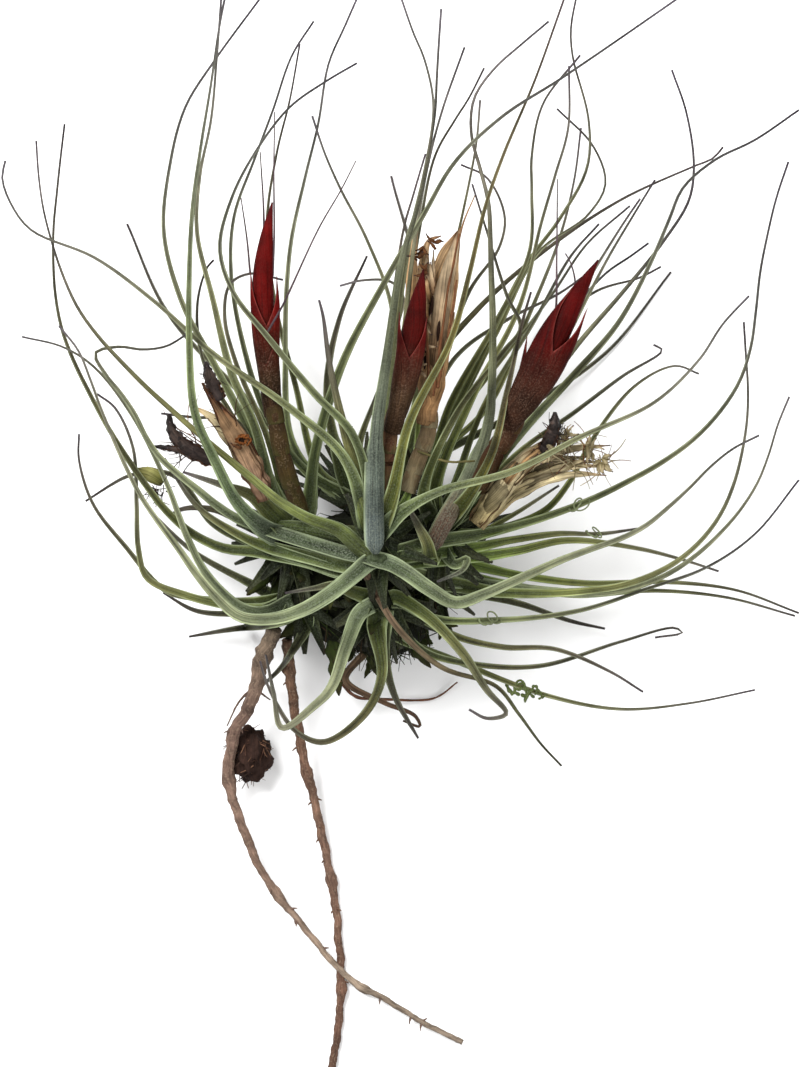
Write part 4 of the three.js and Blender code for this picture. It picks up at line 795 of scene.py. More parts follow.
def add_leaf(piece, item, way, ring_count=LEAF_RINGS, look=None):
    """One leaf: it clasps the stem with its sheath, and its blade rolls up into a thread-like tip."""
    look = look or LEAF_LOOKS.get(item.order)
    flare = INNER_FLARE if item.order in INNER_ENDS else SHEATH_FLARE
    width, flare, held, held_to = look or (item.width, flare, 0, 0)
    points, run = drawn_path(item, ring_count)
    share = np.clip(run / item.length, 0, 1)
    taper = LEAF_TIP_WIDTH + (width - LEAF_TIP_WIDTH) * (1 - share) ** drawn_out(item.length)
    sheath = np.exp(-(np.maximum(run, 0) / SHEATH_LENGTH) ** 2)
    widths = taper + flare * width * sheath
    if held:
        widths = np.maximum(widths, held * np.clip((held_to - run) / HELD_FADE + 0.5, 0, 1) ** 0.5)
        widths *= np.clip((run - run[0] + END_WIDTH_START) / ROUNDED_END, 0, 1) ** 0.5
    widths *= 1 + WAVER_SIZE * wavering(share, WAVER_PACE, item.order * 3.7, 0)
    curl = FOOT_CURL + TIP_CURL * share ** 0.8 + SHEATH_CURL * sheath
    twist = TWIST_MOST * math.sin(item.order * 1.7) * np.clip(share - TWIST_FROM, 0, 1)
    thickness = np.minimum(LEAF_THICKNESS, LEAF_THICKNESS_SHARE * widths)
    rings, u = blade_rings(points, widths, item.roll(points[:, 2]) + twist, curl, thickness, way)
    base = blended(STYLE_PLACES, STYLES[item.style], share)
    base = base * LEAF_LIGHT * (1 + LIGHT_CHANGE * math.sin(item.order * 5.3))
    if not look:
        base = base * (1 - FOOT_SHADE * np.exp(-np.maximum(run, 0) / FOOT_LENGTH))[:, None]
    base = base[:, None]
    rim = SHADED_MARGIN if item.style in SHADED_STYLES else MARGIN_COLOUR
    pale = (PALE_SHARE * (1 - share) ** 0.8)[:, None] * np.abs(u) ** PALE_SHARPNESS
    # The channel is darkened with its own deeper green and with painted shade, less where the back is up
    dark = (CHANNEL_SHADE_SHARE * (1 - share) ** 0.6)[:, None] * (1 - u ** 2) ** 2 * (1 if way > 0 else CHANNEL_SHADE_BACK)
    upper = mixed(mixed(base, rim, pale), CHANNEL_SHADE_GREEN, dark)
    tones = two_sided(upper, mixed(base, rim, PALE_BELOW * pale[:, ::-1]))
    scurf = SCURF + FOOT_SCURF * np.exp(-run / SCURF_LENGTH)
    scurf = scurf * (1.0 if item.style in SCURFY_STYLES else 0.5)
    places = skin_places(widths[:, None] / 2 * u, run, item.order * 1.37)
    piece.sweep(rings, tones, scurf[:, None], places)


def ringed(points, across, up):
    """Rings round a path, from how far each of their points is across it and over it."""
    side, over = frames(points)
    return points[:, None] + side[:, None] * across[..., None] + over[:, None] * up[..., None]


# How quickly the bumps of a tube change round it and along it
BUMPS_ROUND = 1.5
BUMPS_ALONG = 0.35


def add_tube(piece, points, radii, tone, scurf=0, sides=8, seed=0, rough=0):
    """A round strand with a broken surface. Its radii are a pair for its ends, or one for each point."""
    count = len(points)
    angle = np.linspace(0, 2 * math.pi, sides, endpoint=False)
    if isinstance(radii, tuple):
        radii = np.linspace(*radii, count)
    radii = np.broadcast_to(radii, (count,))[:, None] * np.ones(sides)
    if rough:
        section = np.stack([np.cos(angle), np.sin(angle)], axis=-1) * BUMPS_ROUND
        bumps = [[noise.noise(Vector((*at, i * BUMPS_ALONG + seed))) for at in section] for i in range(count)]
        radii = radii * (1 + rough * np.array(bumps))
    arc = radii * angle
    along = np.repeat(run_along(points)[:, None], sides, axis=1)
    piece.sweep(ringed(points, radii * np.cos(angle), radii * np.sin(angle)),
                np.broadcast_to(tone, (count, 3))[:, None], scurf,
                np.stack([arc, along, np.full_like(arc, seed)], axis=-1))


POLE_SHARE = 0.985
LUMP_GRAIN = np.array([1.0, 0.3, 1.0])
# How quickly the broad and the fine swellings of a lump change, and the share of the fine ones
BROAD_SWELLS = 2.1
FINE_SWELLS = 6.3
FINE_SHARE = 0.5


def add_lump(piece, centre, size, roughness, tone, rows=22, columns=30, seed=0):
    """A rounded lump with a broken surface."""
    pole = math.pi / 2 * POLE_SHARE
    lat = np.linspace(-pole, pole, rows)
    lon = np.linspace(0, 2 * math.pi, columns, endpoint=False)
    ball = np.stack([np.cos(lat)[:, None] * np.cos(lon), np.cos(lat)[:, None] * np.sin(lon),
                     np.sin(lat)[:, None] * np.ones(columns)], axis=-1)
    shift = Vector((seed, 0, 0))
    swell = np.array([[1 + roughness * (noise.noise(Vector(at) * BROAD_SWELLS + shift)
                                        + FINE_SHARE * noise.noise(Vector(at) * FINE_SWELLS))
                       for at in row] for row in ball])
    rings = centre + ball * swell[..., None] * np.asarray(size, float)
    piece.sweep(rings, tone, 0, rings * LUMP_GRAIN + seed)


# Materials
RELIEF_DEPTH = 0.00025


def surface(name, stripes, mottle, speck, roughness, bump, specular):
    """A living or dry plant skin: stripes along it, broad mottling, and fine specks of scale or dust."""
    material = bpy.data.materials.new(name)
    material.use_nodes = True
    tree = material.node_tree
    shader = tree.nodes["Principled BSDF"]

    def put(kind, values=None, **settings):
        """The outputs of a new node, whose inputs are set or linked."""
        node = tree.nodes.new(f"ShaderNode{kind}")
        for key, value in settings.items():
            setattr(node, key, value)
        for key, value in (values or {}).items():
            if isinstance(value, bpy.types.NodeSocket):
                tree.links.new(value, node.inputs[key])
            else:
                node.inputs[key].default_value = value
        return node.outputs

    def grain(vector, scale, **values):
        return put("TexNoise", {"Vector": vector, "Scale": scale, **values})["Fac"]

    def ranged(value, low, high, start=0.3, end=0.7):
        return put("MapRange", {0: value, 1: start, 2: end, 3: low, 4: high})[0]

    across_scale, along_scale, striping = stripes
    mottle_scale, mottling = mottle
    speck_scale, speck_colour, speck_amount, speck_from, speck_to = speck
    tone = put("Attribute", attribute_name="tone")
    place = put("Attribute", attribute_name="place")["Vector"]
    where = put("TexCoord")["Object"]
    stretched = put("VectorMath", {0: place, 1: (across_scale, along_scale, 1)}, operation="MULTIPLY")[0]
    stripe = grain(stretched, 1, Detail=3)
    stripe_value = ranged(stripe, 1 - striping, 1 + striping)
    broad_value = ranged(grain(where, mottle_scale, Detail=2), 1 - mottling, 1 + mottling)
    both = put("Math", {0: stripe_value, 1: broad_value}, operation="MULTIPLY")[0]
    shaded = put("VectorMath", {0: tone["Color"], "Scale": both}, operation="SCALE")[0]
    fine = grain(where, speck_scale, Detail=2, Roughness=0.6)
    dots = ranged(fine, 0, speck_amount, speck_from, speck_to)
    cover = put("Math", {0: dots, 1: tone["Alpha"]}, operation="MULTIPLY")[0]
    skin = put("Mix", {0: cover, 6: shaded, 7: (*speck_colour, 1)}, data_type="RGBA")[2]
    rough = ranged(stripe, roughness - 0.08, roughness + 0.1)
    height = put("Math", {0: stripe, 1: fine}, operation="ADD")[0]
    relief = put("Bump", {"Strength": bump, "Distance": RELIEF_DEPTH, "Height": height})[0]
    for key, value in (("Base Color", skin), ("Roughness", rough), ("Normal", relief)):
        tree.links.new(value, shader.inputs[key])
    shader.inputs["Specular IOR Level"].default_value = specular
    return material


# Stripes have a scale across, a scale along and a strength, mottling has a scale and a strength,
# and specks have a scale, a colour, a strength and the values of noise between which they fade in
LEAF = surface("leaf", (3.6, 0.07, 0.6), (170, 0.3), (2400, colour(142, 150, 130), 0.34, 0.44, 0.7),
               roughness=0.6, bump=0.8, specular=0.12)
BRACT = surface("red_bract", (2.6, 0.06, 0.36), (190, 0.34), (2500, colour(134, 108, 92), 0.36, 0.48, 0.68),
                roughness=0.55, bump=0.6, specular=0.03)
PAPER = surface("papery", (3.6, 0.1, 0.55), (260, 0.36), (1900, colour(84, 54, 34), 0.55, 0.54, 0.7),
                roughness=0.75, bump=0.8, specular=0.08)
HUSK = surface("husk", (2.4, 0.3, 0.5), (260, 0.4), (1500, colour(70, 58, 48), 0.4, 0.6, 0.74),
               roughness=0.45, bump=0.8, specular=0.1)
BARKY = surface("root_bark", (2.4, 0.35, 0.4), (220, 0.32), (1500, colour(150, 132, 110), 0.5, 0.55, 0.72),
                roughness=0.85, bump=1.0, specular=0.15)
OLD = surface("old_stem", (1.8, 0.4, 0.45), (160, 0.35), (1300, colour(84, 78, 50), 0.35, 0.56, 0.74),
              roughness=0.9, bump=1.0, specular=0.1)
STALK = surface("stalk", (2.4, 0.09, 0.3), (200, 0.3), (2100, colour(122, 104, 84), 0.42, 0.52, 0.68),
                roughness=0.6, bump=0.6, specular=0.08)


# Rosettes
# The rosette cores are near black: painted shade in the middle of each crown
CORE_SHADE_TONE = colour(18, 22, 9)
CORE_SHARE = 0.62
# A pale knuckle of stem in the middle of the highest crown
KNUCKLE_AT = (0.2, 0.4, 50.8)
KNUCKLE_SIZE = (2.7, 1.3, 1.3)
KNUCKLE_TONE = colour(58, 66, 46)
# Leaves that show their rounded back to a viewer above, by their place in the list
BACKED = {1, 13, 15, 17, 19, 30, 57, 59, 60}
# Short inner leaves round each crown: how many, the arc that they fill in degrees, and their reach
INNER_LEAVES = {
    "centre": (16, (100, 440), (9, 15)),
    "left": (18, (60, 330), (10, 17)),
    "right": (18, (-120, 130), (10, 18)),
    "left_low": (14, (110, 330), (9, 15)),
    "right_low": (14, (-130, 60), (9, 16)),
    "lower": (16, (180, 360), (9, 15)),
    "back": (16, (20, 170), (12, 20)),
}
# The inner leaves' near-black styles are painted shade between the long leaves
INNER_STYLES = ("deep_shade", "deep_shade", "shaded_short", "deep_shade")
INNER_ORDER = 1000
INNER_RINGS = 24
INNER_WIDTHS = (2.4, 3.6)
INNER_BEND = 2.5
INNER_FOOT_SHARE = 0.3
GREY_ROSETTES = ("centre", "left")
# Loops of curled thread: the sizes and beats of the waves that they are made of
WAVES = ((0.62, 4.1), (0.38, 7.7), (0.22, 12.3))
KNOT_GREEN = colour(82, 92, 50)
KNOT_PALE = colour(112, 120, 86)
KNOT_PACE = 0.36
# Small knots of curled thread: leaf, plan place, spread in millimetres along it, and size
KNOTS = ((49, (57, 3.4), 2.2, 2.2), (54, (56, 0), 1.6, 1.8), (42, (29.6, -17.4), 2.4, 2.2))


def headed(heading):
    """The step in plan that heads one way, and the one to its left."""
    way = np.array([math.cos(heading), math.sin(heading)])
    return way, np.array([-way[1], way[0]])


def points_at(places, run, points):
    """Where a path is after it has run so far."""
    return np.stack([np.interp(places, run, points[:, axis]) for axis in range(3)], axis=-1)


def tangled(points, reach, seed, pace=1.0):
    """A path thrown into irregular small loops, up and to all sides."""
    turn = np.linspace(0, 1, len(points))
    swings = [sum(size * np.sin(2 * math.pi * pace * (beat + 0.3 * (seed % 3)) * turn + seed * (k + 1))
                  for size, beat in WAVES) for k in range(3)]
    loops = np.stack(swings, axis=-1) * reach
    loops[:, 2] = np.abs(loops[:, 2]) * 0.8
    return points + loops * np.sin(math.pi * np.clip(turn * 1.04, 0.03, 1))[:, None] ** 0.5


def add_inner_leaves(piece, name, at, size):
    """Short young and old leaves that fill the crown between the long ones, near black as painted shade."""
    count, (start, end), reach = INNER_LEAVES[name]
    random = np.random.default_rng(len(name) * 7 + count)
    for k in range(count):
        way, left = headed(math.radians(start + (end - start) * (k + random.uniform(0.1, 0.9)) / count))
        bend = left * random.uniform(-INNER_BEND, INNER_BEND)
        length = random.uniform(*reach)
        foot = np.array(at[:2]) + way * size[:2] * INNER_FOOT_SHARE
        path = [foot, foot + way * length * 0.5 + bend * 0.4, foot + way * length + bend]
        z = at[2] + size[2] * random.uniform(-0.7, 0.25)
        leaf = scrap(random.uniform(*INNER_WIDTHS), (z, z - 1, z - random.uniform(1, 8)), path,
                     INNER_ORDER + k, INNER_STYLES[k % len(INNER_STYLES)])
        add_leaf(piece, leaf, -1 if k % 3 == 0 else 1, INNER_RINGS)


def fill_rosette(piece, name, node):
    """The core and leaves of a rosette, with small knots of curled thread."""
    at, size = ROSETTES[name]["at"], np.array(ROSETTES[name]["size"], float)
    add_lump(piece, true_place(at), size * CORE_SHARE, 0.16, CORE_SHADE_TONE, seed=at[0])
    add_inner_leaves(piece, name, at, size)
    if name == "centre":
        add_lump(piece, true_place(KNUCKLE_AT), KNUCKLE_SIZE, 0.25, KNUCKLE_TONE, rows=16, columns=24)
    for item in leaf_strands:
        if item.node == node:
            add_leaf(piece, item, -1 if item.order in BACKED else 1)
    if name == "lower":
        points = rootlet_strands[2].points(160)
        for seed in (1, 2):
            add_tube(piece, tangled(points, 1.1, seed), (0.36, 0.2), KNOT_GREEN, 0.4, sides=6, seed=seed)
    for order, at, spread_by, size in KNOTS:
        item = leaf_strands[order]
        if item.node == node:
            nearest = np.argmin(np.linalg.norm(item.plan - np.array(at), axis=1))
            places = np.linspace(-spread_by, spread_by, 120) + item.run[nearest]
            points = points_at(places, item.run, item.points(SAMPLES))
            add_tube(piece, tangled(points, size, order, KNOT_PACE), (0.3, 0.14), KNOT_PALE, 0.5, sides=6)


# Bracts and dry scraps
BRACT_PLACES = [0, 0.22, 0.5, 0.85, 1]
BRACT_CURL = 1.15
BRACT_SHELL = 0.42
BRACT_PEAK = 2.014
SEAM_COLOUR = colour(132, 62, 56)
STRAW_SEAM = colour(84, 54, 34)
AWN_COLOUR = colour(66, 54, 58)
AWN_WIDTH = 0.5
AWN_POINTS = 90
LOWER_SIDE_TONE = 0.85
BRACT_ROLL = 0.6
BRACT_SHELL_SHARE = 0.7
BRACT_FOOT = 0.12
BRACT_POINT = 0.75
RAGGED_PACE = 9
# The seam along each edge: where it starts, over what width it grows, and how strong it is
SEAM_START = 0.84
SEAM_FADE = 0.12
SEAM_AT_FOOT = 0.6
SEAM_ALL_ALONG = 0.3


def add_bract(piece, item, awn, stops, seam, way=-1, drop=0, ring_count=56, scurfy=1, ragged=0):
    """A thin, boat-shaped bract or scrap, whose last share is a thread-like awn."""
    points = item.points(ring_count)
    share = np.linspace(0, 1, ring_count)
    blade = np.clip(share / (1 - awn), 0, 1)
    profile = BRACT_PEAK * (blade + BRACT_FOOT) ** 0.5 * (1 - blade) ** BRACT_POINT
    if ragged:
        profile = profile * (1 + ragged * wavering(share, RAGGED_PACE, item.order * 2.3, 5))
    widths = np.maximum(item.width * profile, AWN_WIDTH * (1 - 0.5 * share))
    points[:, 2] -= drop * widths / 2 * (1 - math.cos(BRACT_CURL)) / math.sin(BRACT_CURL)
    thickness = np.minimum(BRACT_SHELL, BRACT_SHELL_SHARE * widths)
    rings, u = blade_rings(points, widths, item.roll(points[:, 2]) * BRACT_ROLL,
                           np.full(ring_count, BRACT_CURL), thickness, way)
    thin = (share > 1 - awn)[:, None]
    base = np.where(thin, AWN_COLOUR, blended(BRACT_PLACES, stops, blade))[:, None]
    line = np.clip((np.abs(u) - SEAM_START) / SEAM_FADE, 0, 1)
    upper = mixed(base, seam, (SEAM_AT_FOOT * (1 - blade))[:, None] * line
                  + SEAM_ALL_ALONG * line * (blade < 1)[:, None])
    tones = two_sided(upper, np.broadcast_to(base * LOWER_SIDE_TONE, upper.shape))
    fade = (scurfy * np.clip(1.1 - 1.5 * blade, 0.1, 1))[:, None]
    scurf = two_sided(fade * (0.6 + 0.4 * np.abs(u)), fade * np.ones_like(u))
    places = skin_places(widths[:, None] / 2 * u, share * item.length, item.order * 2.1 + 7)
    piece.sweep(rings, tones, scurf, places)


# Bracts wrapped round their spike
WRAP_RINGS = 60
WRAP_ACROSS = 25
WRAP_FLATNESS = 0.72
WRAP_SHARES = (0, 0.3, 0.6, 1)
WRAP_RADIUS_LEAST = 0.22
WRAP_SHELL_SHARE = 0.6
WRAP_RAGGED_PACE = 8
# The seam: where it starts, over what width it grows, how strong it is at the foot and how much that drops
WRAP_SEAM = (0.9, 0.07, 0.75, 0.35)
# How much painted shade darkens the left side and painted light brightens the right side, and what is left of
# the tone inside
LEFT_SHADE = 0.22
RIGHT_LIGHT = 0.1
INNER_TONE = 0.8
# How far they wrap to each side in degrees, at the shares of their length in WRAP_SHARES
HOODED = (172, 168, 164, 130)
OPENING = (174, 142, 74, 16)


def add_wrapped(piece, row, stops, seam, order, scurfy=1, ragged=0, brown=None):
    """A bract that clasps the spike below and opens to a point above.

    Its row has its plan path, its heights at base, middle and tip, radii along it, the way that it
    faces at its base and tip in degrees with 90 up, and how far it wraps where it isn't an opening one.
    """
    path, heights, radii, facing, *own_wrap = row
    wrap = own_wrap[0] if own_wrap else OPENING
    item = scrap(1, heights, path, order)
    points = item.points(WRAP_RINGS)
    share = np.linspace(0, 1, WRAP_RINGS)
    radii = np.maximum(eased(radii, WRAP_RINGS), WRAP_RADIUS_LEAST)
    if ragged:
        radii = radii * (1 + ragged * wavering(share, WRAP_RAGGED_PACE, order * 3.1, 2))
    turned = np.radians(np.interp(share, (0, 1), facing))
    reach = np.radians(np.interp(share, WRAP_SHARES, wrap))
    u = np.linspace(-1, 1, WRAP_ACROSS)
    angle = turned[:, None] + reach[:, None] * u
    radii = radii[:, None]
    walls = radii, radii - np.minimum(BRACT_SHELL, WRAP_SHELL_SHARE * radii)
    outer, inner = (ringed(points, wall * np.cos(angle), wall * WRAP_FLATNESS * np.sin(angle))
                    for wall in walls)
    base = blended(BRACT_PLACES, stops, share)
    brownness = np.full(WRAP_RINGS, 0.3)
    if brown:
        tone, full_below, none_above = brown
        brownness = np.clip((none_above - points[:, 1]) / (none_above - full_below), 0, 1)
        base = mixed(base, tone, brownness)
    # Painted shade on the left side and painted light on the right side of each bract
    shade = 1 - LEFT_SHADE * np.clip(-np.cos(angle), 0, 1) + RIGHT_LIGHT * np.clip(np.cos(angle), 0, 1)
    start, fade, most, loss = WRAP_SEAM
    line = np.clip((np.abs(u) - start) / fade, 0, 1)[None] * (most - loss * share)[:, None]
    upper = mixed(base[:, None] * shade[..., None], seam, line)
    fade = scurfy * (0.12 + 0.88 * brownness)[:, None] * (0.45 + 0.55 * np.abs(u) ** 2)
    places = skin_places(radii * angle, share * item.length, order * 2.7)
    piece.sweep(two_sided(outer, inner[:, ::-1]), two_sided(upper, upper[:, ::-1] * INNER_TONE),
                two_sided(fade, fade[:, ::-1]), places)


def add_awn(piece, item, awn, tone):
    """The thread-like end of a bract."""
    points = item.points(AWN_POINTS)[int((1 - awn) * 0.92 * (AWN_POINTS - 1)):]
    add_tube(piece, points, (0.3, 0.16), tone, 0.3, sides=7, seed=item.order)


# Red spikes: their colours and their rows of wrapped bracts
WARM_RED = colours((46, 12, 8), (54, 10, 7), (66, 5, 4), (74, 6, 5), (58, 12, 14))
CENTRE_RED = colours((50, 14, 10), (56, 12, 9), (58, 7, 5), (64, 8, 7), (48, 12, 12))
DARK_RED = colours((44, 11, 8), (48, 9, 6), (54, 4, 3), (60, 4, 4), (50, 10, 11))
WRAPPED = {
    "left_spike": (WARM_RED, [
        ([(-26.2, 44), (-27.2, 54), (-27.9, 64), (-28, 71), (-27.2, 80), (-25.7, 89.4)], (59, 60, 59.6),
         (1.2, 2.3, 3, 3, 2, 0.2), (90, 84), HOODED),
        ([(-26, 41), (-26.4, 49), (-26.2, 57), (-25.4, 64), (-24.7, 71)], (59, 61, 60.8),
         (2, 2.6, 2.9, 2.3, 0.2), (70, 10)),
        ([(-26, 40), (-26.8, 48), (-27.9, 56), (-29.2, 64), (-31, 72.4)], (59, 61.2, 60.8),
         (2.1, 2.8, 3.2, 2.7, 0.2), (110, 172)),
        ([(-25.6, 37), (-26, 44), (-25.9, 51), (-24.7, 59)], (58.4, 61, 61), (2.2, 2.9, 2.7, 0.2), (70, 10)),
        ([(-25.4, 36), (-26, 41.6), (-27.2, 48), (-29.6, 56)], (58, 60.8, 60.8), (2.3, 3, 2.7, 0.2),
         (110, 170)),
    ]),
    "centre_spike": (CENTRE_RED, [
        ([(6.6, 42), (7.8, 49), (9.5, 57), (10.8, 64.6), (12.1, 72.6)], (55, 56.2, 56.4),
         (1.6, 3.1, 3.5, 2.6, 0.2), (90, 90), HOODED),
        ([(5.8, 37), (8.2, 45), (10.6, 53), (12.9, 61)], (55, 57, 56.8), (2.3, 3.2, 3, 0.2), (70, 14)),
        ([(5.4, 36), (6.8, 44), (7.4, 52), (6.2, 62)], (55, 57.2, 57), (2.4, 3.2, 3, 0.2), (110, 166)),
        ([(4.6, 34), (6.6, 40), (8, 45), (9.6, 51)], (54.6, 57, 57), (2.3, 2.9, 2.5, 0.2), (72, 20)),
        ([(4.2, 32), (5.6, 37.6), (6, 43), (5, 49)], (54.4, 56.6, 56.6), (2.3, 2.7, 2.4, 0.2), (108, 160)),
    ]),
    "right_spike": (DARK_RED, [
        ([(36, 38), (41, 47.4), (45.6, 57), (50.4, 66), (55.8, 75)], (61.6, 63, 62),
         (1.6, 4, 4.3, 2.6, 0.2), (90, 86), HOODED),
        ([(35, 36.4), (41, 44.4), (46.8, 53.4), (53, 63)], (61.6, 63.6, 62.6), (2.6, 4.8, 4.5, 0.2), (66, 4)),
        ([(34, 36), (38.8, 45), (43.8, 56), (50.2, 69)], (61.6, 64, 63.4), (2.7, 4.8, 4.5, 0.2), (112, 176)),
        ([(34, 35), (38.8, 41), (43.6, 47.4), (48.6, 54.6)], (61, 63.4, 62.6), (2.7, 4, 3.6, 0.2), (68, 6)),
        ([(33, 33.4), (35.8, 39), (38.2, 46.4), (38.2, 56)], (60.4, 63.2, 62.8), (2.7, 3.7, 3.3, 0.2),
         (110, 172)),
    ]),
}
# Brown, scaly bases of the bracts: their colour, and the plan Y below which it is full and above which none
BROWN_BASES = {
    "left_spike": (colour(34, 22, 11), 45, 61),
    "centre_spike": (colour(48, 34, 22), 41, 54),
    "right_spike": (colour(38, 22, 14), 39, 53),
    "dry_spike": (colour(126, 98, 68), 30, 42),
}


def fill_spike(piece, name):
    """The wrapped bracts of a red spike and their awns."""
    stops, rows = WRAPPED[name]
    for order, row in enumerate(rows):
        add_wrapped(piece, row, stops, SEAM_COLOUR, order, brown=BROWN_BASES[name])
    for item, (*_, awn) in zip(bract_strands[name], SPIKES[name]):
        if awn:
            add_awn(piece, item, awn, AWN_COLOUR)


# The dry spike: a broad pale hood, with ribbed scales and torn scraps below and beside it
HOOD_STRAW = colours((92, 70, 48), (122, 96, 70), (142, 122, 96), (150, 132, 106), (104, 76, 52))
STRAW_STOPS = colours((112, 86, 58), (136, 102, 68), (148, 116, 80), (160, 132, 98), (96, 64, 42))
BROWN_CURL = colours((60, 36, 20), (78, 48, 28), (92, 60, 36), (72, 44, 26), (40, 24, 16))
RIB_COLOUR = colour(96, 62, 40)
# Dark slits are painted shade in the gaps of the dry scales
SLIT_SHADE_COLOUR = colour(40, 24, 16)
DRY_HOOD = ([(15.4, 44), (15.6, 54), (16.4, 63), (18.6, 73), (21.4, 83)], (48.6, 50.4, 51),
            (1.6, 2.3, 2.9, 2.3, 0.3), (104, 110), (100, 100, 96, 80))
DRY_WRAPS = [
    ([(12.8, 36), (14.4, 47), (16.6, 58), (19, 70), (21, 80)], (46, 48.6, 50), (2, 3.2, 3.6, 2.5, 0.3),
     (70, 64), (160, 150, 130, 110)),
    ([(12.8, 36), (13.6, 46), (13.4, 56), (12.2, 66)], (46, 48.4, 49), (2.1, 3, 2.6, 0.4), (110, 140)),
    ([(13, 35), (15, 45), (17.6, 54), (19.6, 62)], (46, 48.8, 49.4), (2.2, 3.1, 2.6, 0.4), (76, 30)),
    ([(12.4, 34), (13.6, 42), (15, 49), (15.8, 55)], (45.8, 48.4, 49.6), (2.3, 2.9, 2.2, 0.4), (94, 86)),
]
DRY_RIBS = [
    [(21, 81.6), (19.6, 74), (18, 66), (16.8, 57), (15.6, 49), (14.6, 41)],
    [(19.4, 62), (17.6, 52), (15.6, 43)],
    [(12.4, 64), (13, 54), (13.4, 44)],
    [(20.4, 70), (19.2, 61), (17.2, 50)],
]
DRY_RIB_HEIGHTS = (53.4, 53.2, 51)
DRY_SLITS = [[(12.2, 54.6), (12.6, 50.6), (12.4, 47.6)], [(14.4, 66), (14, 62.4), (13.6, 60)],
             [(16.2, 60.6), (15.8, 57), (15.6, 54)]]
DRY_SLIT_HEIGHTS = (51.6, 51.4, 51)
# Places of curls, the first few of which are brown
DRY_CURLS = [(12.8, 78.6), (14.8, 78.4), (10.6, 76), (12.4, 72), (13, 58.6), (11.8, 48.6), (12.4, 52.4)]
BROWN_CURLS = 4
DRY_CURL_HEIGHT = 51.4
DRY_SHREDS = 12
SHRED_FEET = np.array([10.2, 50])
SHRED_SPAN = np.array([4.5, 20])
SHRED_HEIGHT = 49
SHRED_LENGTHS = (7, 13)
SHRED_WIDTHS = (0.8, 1.9)


def fill_dry_spike(piece):
    """The hood, scales, ribs, slits, curls and shreds of the dry spike."""
    for order, row in enumerate(DRY_WRAPS, 3):
        add_wrapped(piece, row, STRAW_STOPS, STRAW_SEAM, order, ragged=0.25, brown=BROWN_BASES["dry_spike"])
    add_wrapped(piece, DRY_HOOD, HOOD_STRAW, STRAW_SEAM, 9, scurfy=0.2, ragged=0.08)
    hood, *scales = bract_strands["dry_spike"]
    for item, (*_, awn) in zip(scales, SPIKES["dry_spike"][1:]):
        add_bract(piece, item, awn, STRAW_STOPS, STRAW_SEAM, ragged=0.4, scurfy=0.5)
    add_awn(piece, hood, 0.16, STRAW_STOPS[1])
    for k, path in enumerate(DRY_RIBS):
        rib = thread_points(path, DRY_RIB_HEIGHTS, 40)
        add_tube(piece, rib, (0.26, 0.4), RIB_COLOUR, 0.2, sides=6, seed=k, rough=0.5)
    for k, path in enumerate(DRY_SLITS):
        slit = thread_points(path, DRY_SLIT_HEIGHTS, 20)
        add_tube(piece, slit, 0.55 * np.sin(np.linspace(0.3, 2.9, 20)), SLIT_SHADE_COLOUR, seed=k)
    for k, at in enumerate(DRY_CURLS):
        stops = BROWN_CURL if k < BROWN_CURLS else HOOD_STRAW
        add_curls(piece, at, DRY_CURL_HEIGHT, 3, (2, 4.2), stops, 80 + k, width=0.9)
    add_dry_shreds(piece)


def add_dry_shreds(piece):
    """Torn strips at the open upper side of the dry spike."""
    random = np.random.default_rng(21)
    for k in range(DRY_SHREDS):
        share = random.uniform(0.3, 0.9)
        foot = SHRED_FEET + SHRED_SPAN * share + np.array([random.uniform(-1.2, 1.6), 0])
        length = random.uniform(*SHRED_LENGTHS)
        lean = random.uniform(-0.16, 0.1)
        z = SHRED_HEIGHT + random.uniform(0, 2)
        path = [foot, foot + np.array([lean, 1]) * length * 0.5,
                foot + np.array([lean * 1.4 + 0.06, 1]) * length]
        shred = scrap(random.uniform(*SHRED_WIDTHS), (z, z + 0.6, z + random.uniform(0, 2)), path, k)
        add_bract(piece, shred, 0.05, STRAW_STOPS if k % 2 else HOOD_STRAW, STRAW_SEAM, (-1) ** k,
                  ring_count=16, scurfy=0.7, ragged=0.5)


# Stalks, with papery sheaths that wrap them, each from a share of the stalk's length to another
STALK_POINTS = 60
STALK_PLACES = [0, 0.3, 0.7, 1]
STALK_STOPS = {
    "left_spike": colours((50, 46, 20), (48, 38, 16), (44, 30, 14), (44, 26, 14)),
    "centre_spike": colours((62, 56, 32), (88, 66, 44), (66, 38, 26), (52, 28, 18)),
    "right_spike": colours((62, 46, 24), (58, 40, 22), (52, 31, 20), (46, 23, 15)),
    "dry_spike": colours((120, 110, 84), (112, 98, 72), (118, 98, 72), (124, 94, 66)),
}
STALK_WRAPS = ((0.0, 0.42), (0.2, 0.66), (0.45, 0.9), (0.68, 1.0))
STALK_WRAP_GAP = 0.45
# A brown ring round the stalk of the centre spike
NODE_RING_AT = (3, 24)
NODE_RING_POINT = 22
NODE_RING_SIZE = (2.2, 0.7, 2.1)
NODE_RING_TONE = colour(50, 30, 15)
# A thin straw-coloured twig that leaves the dry stalk to the right
TWIG = [(10.6, 27.2), (13.4, 26.2), (18, 24.6), (24.9, 24.7)]
TWIG_HEIGHTS = (45.6, 52, 50)
TWIG_TONE = colour(92, 86, 52)


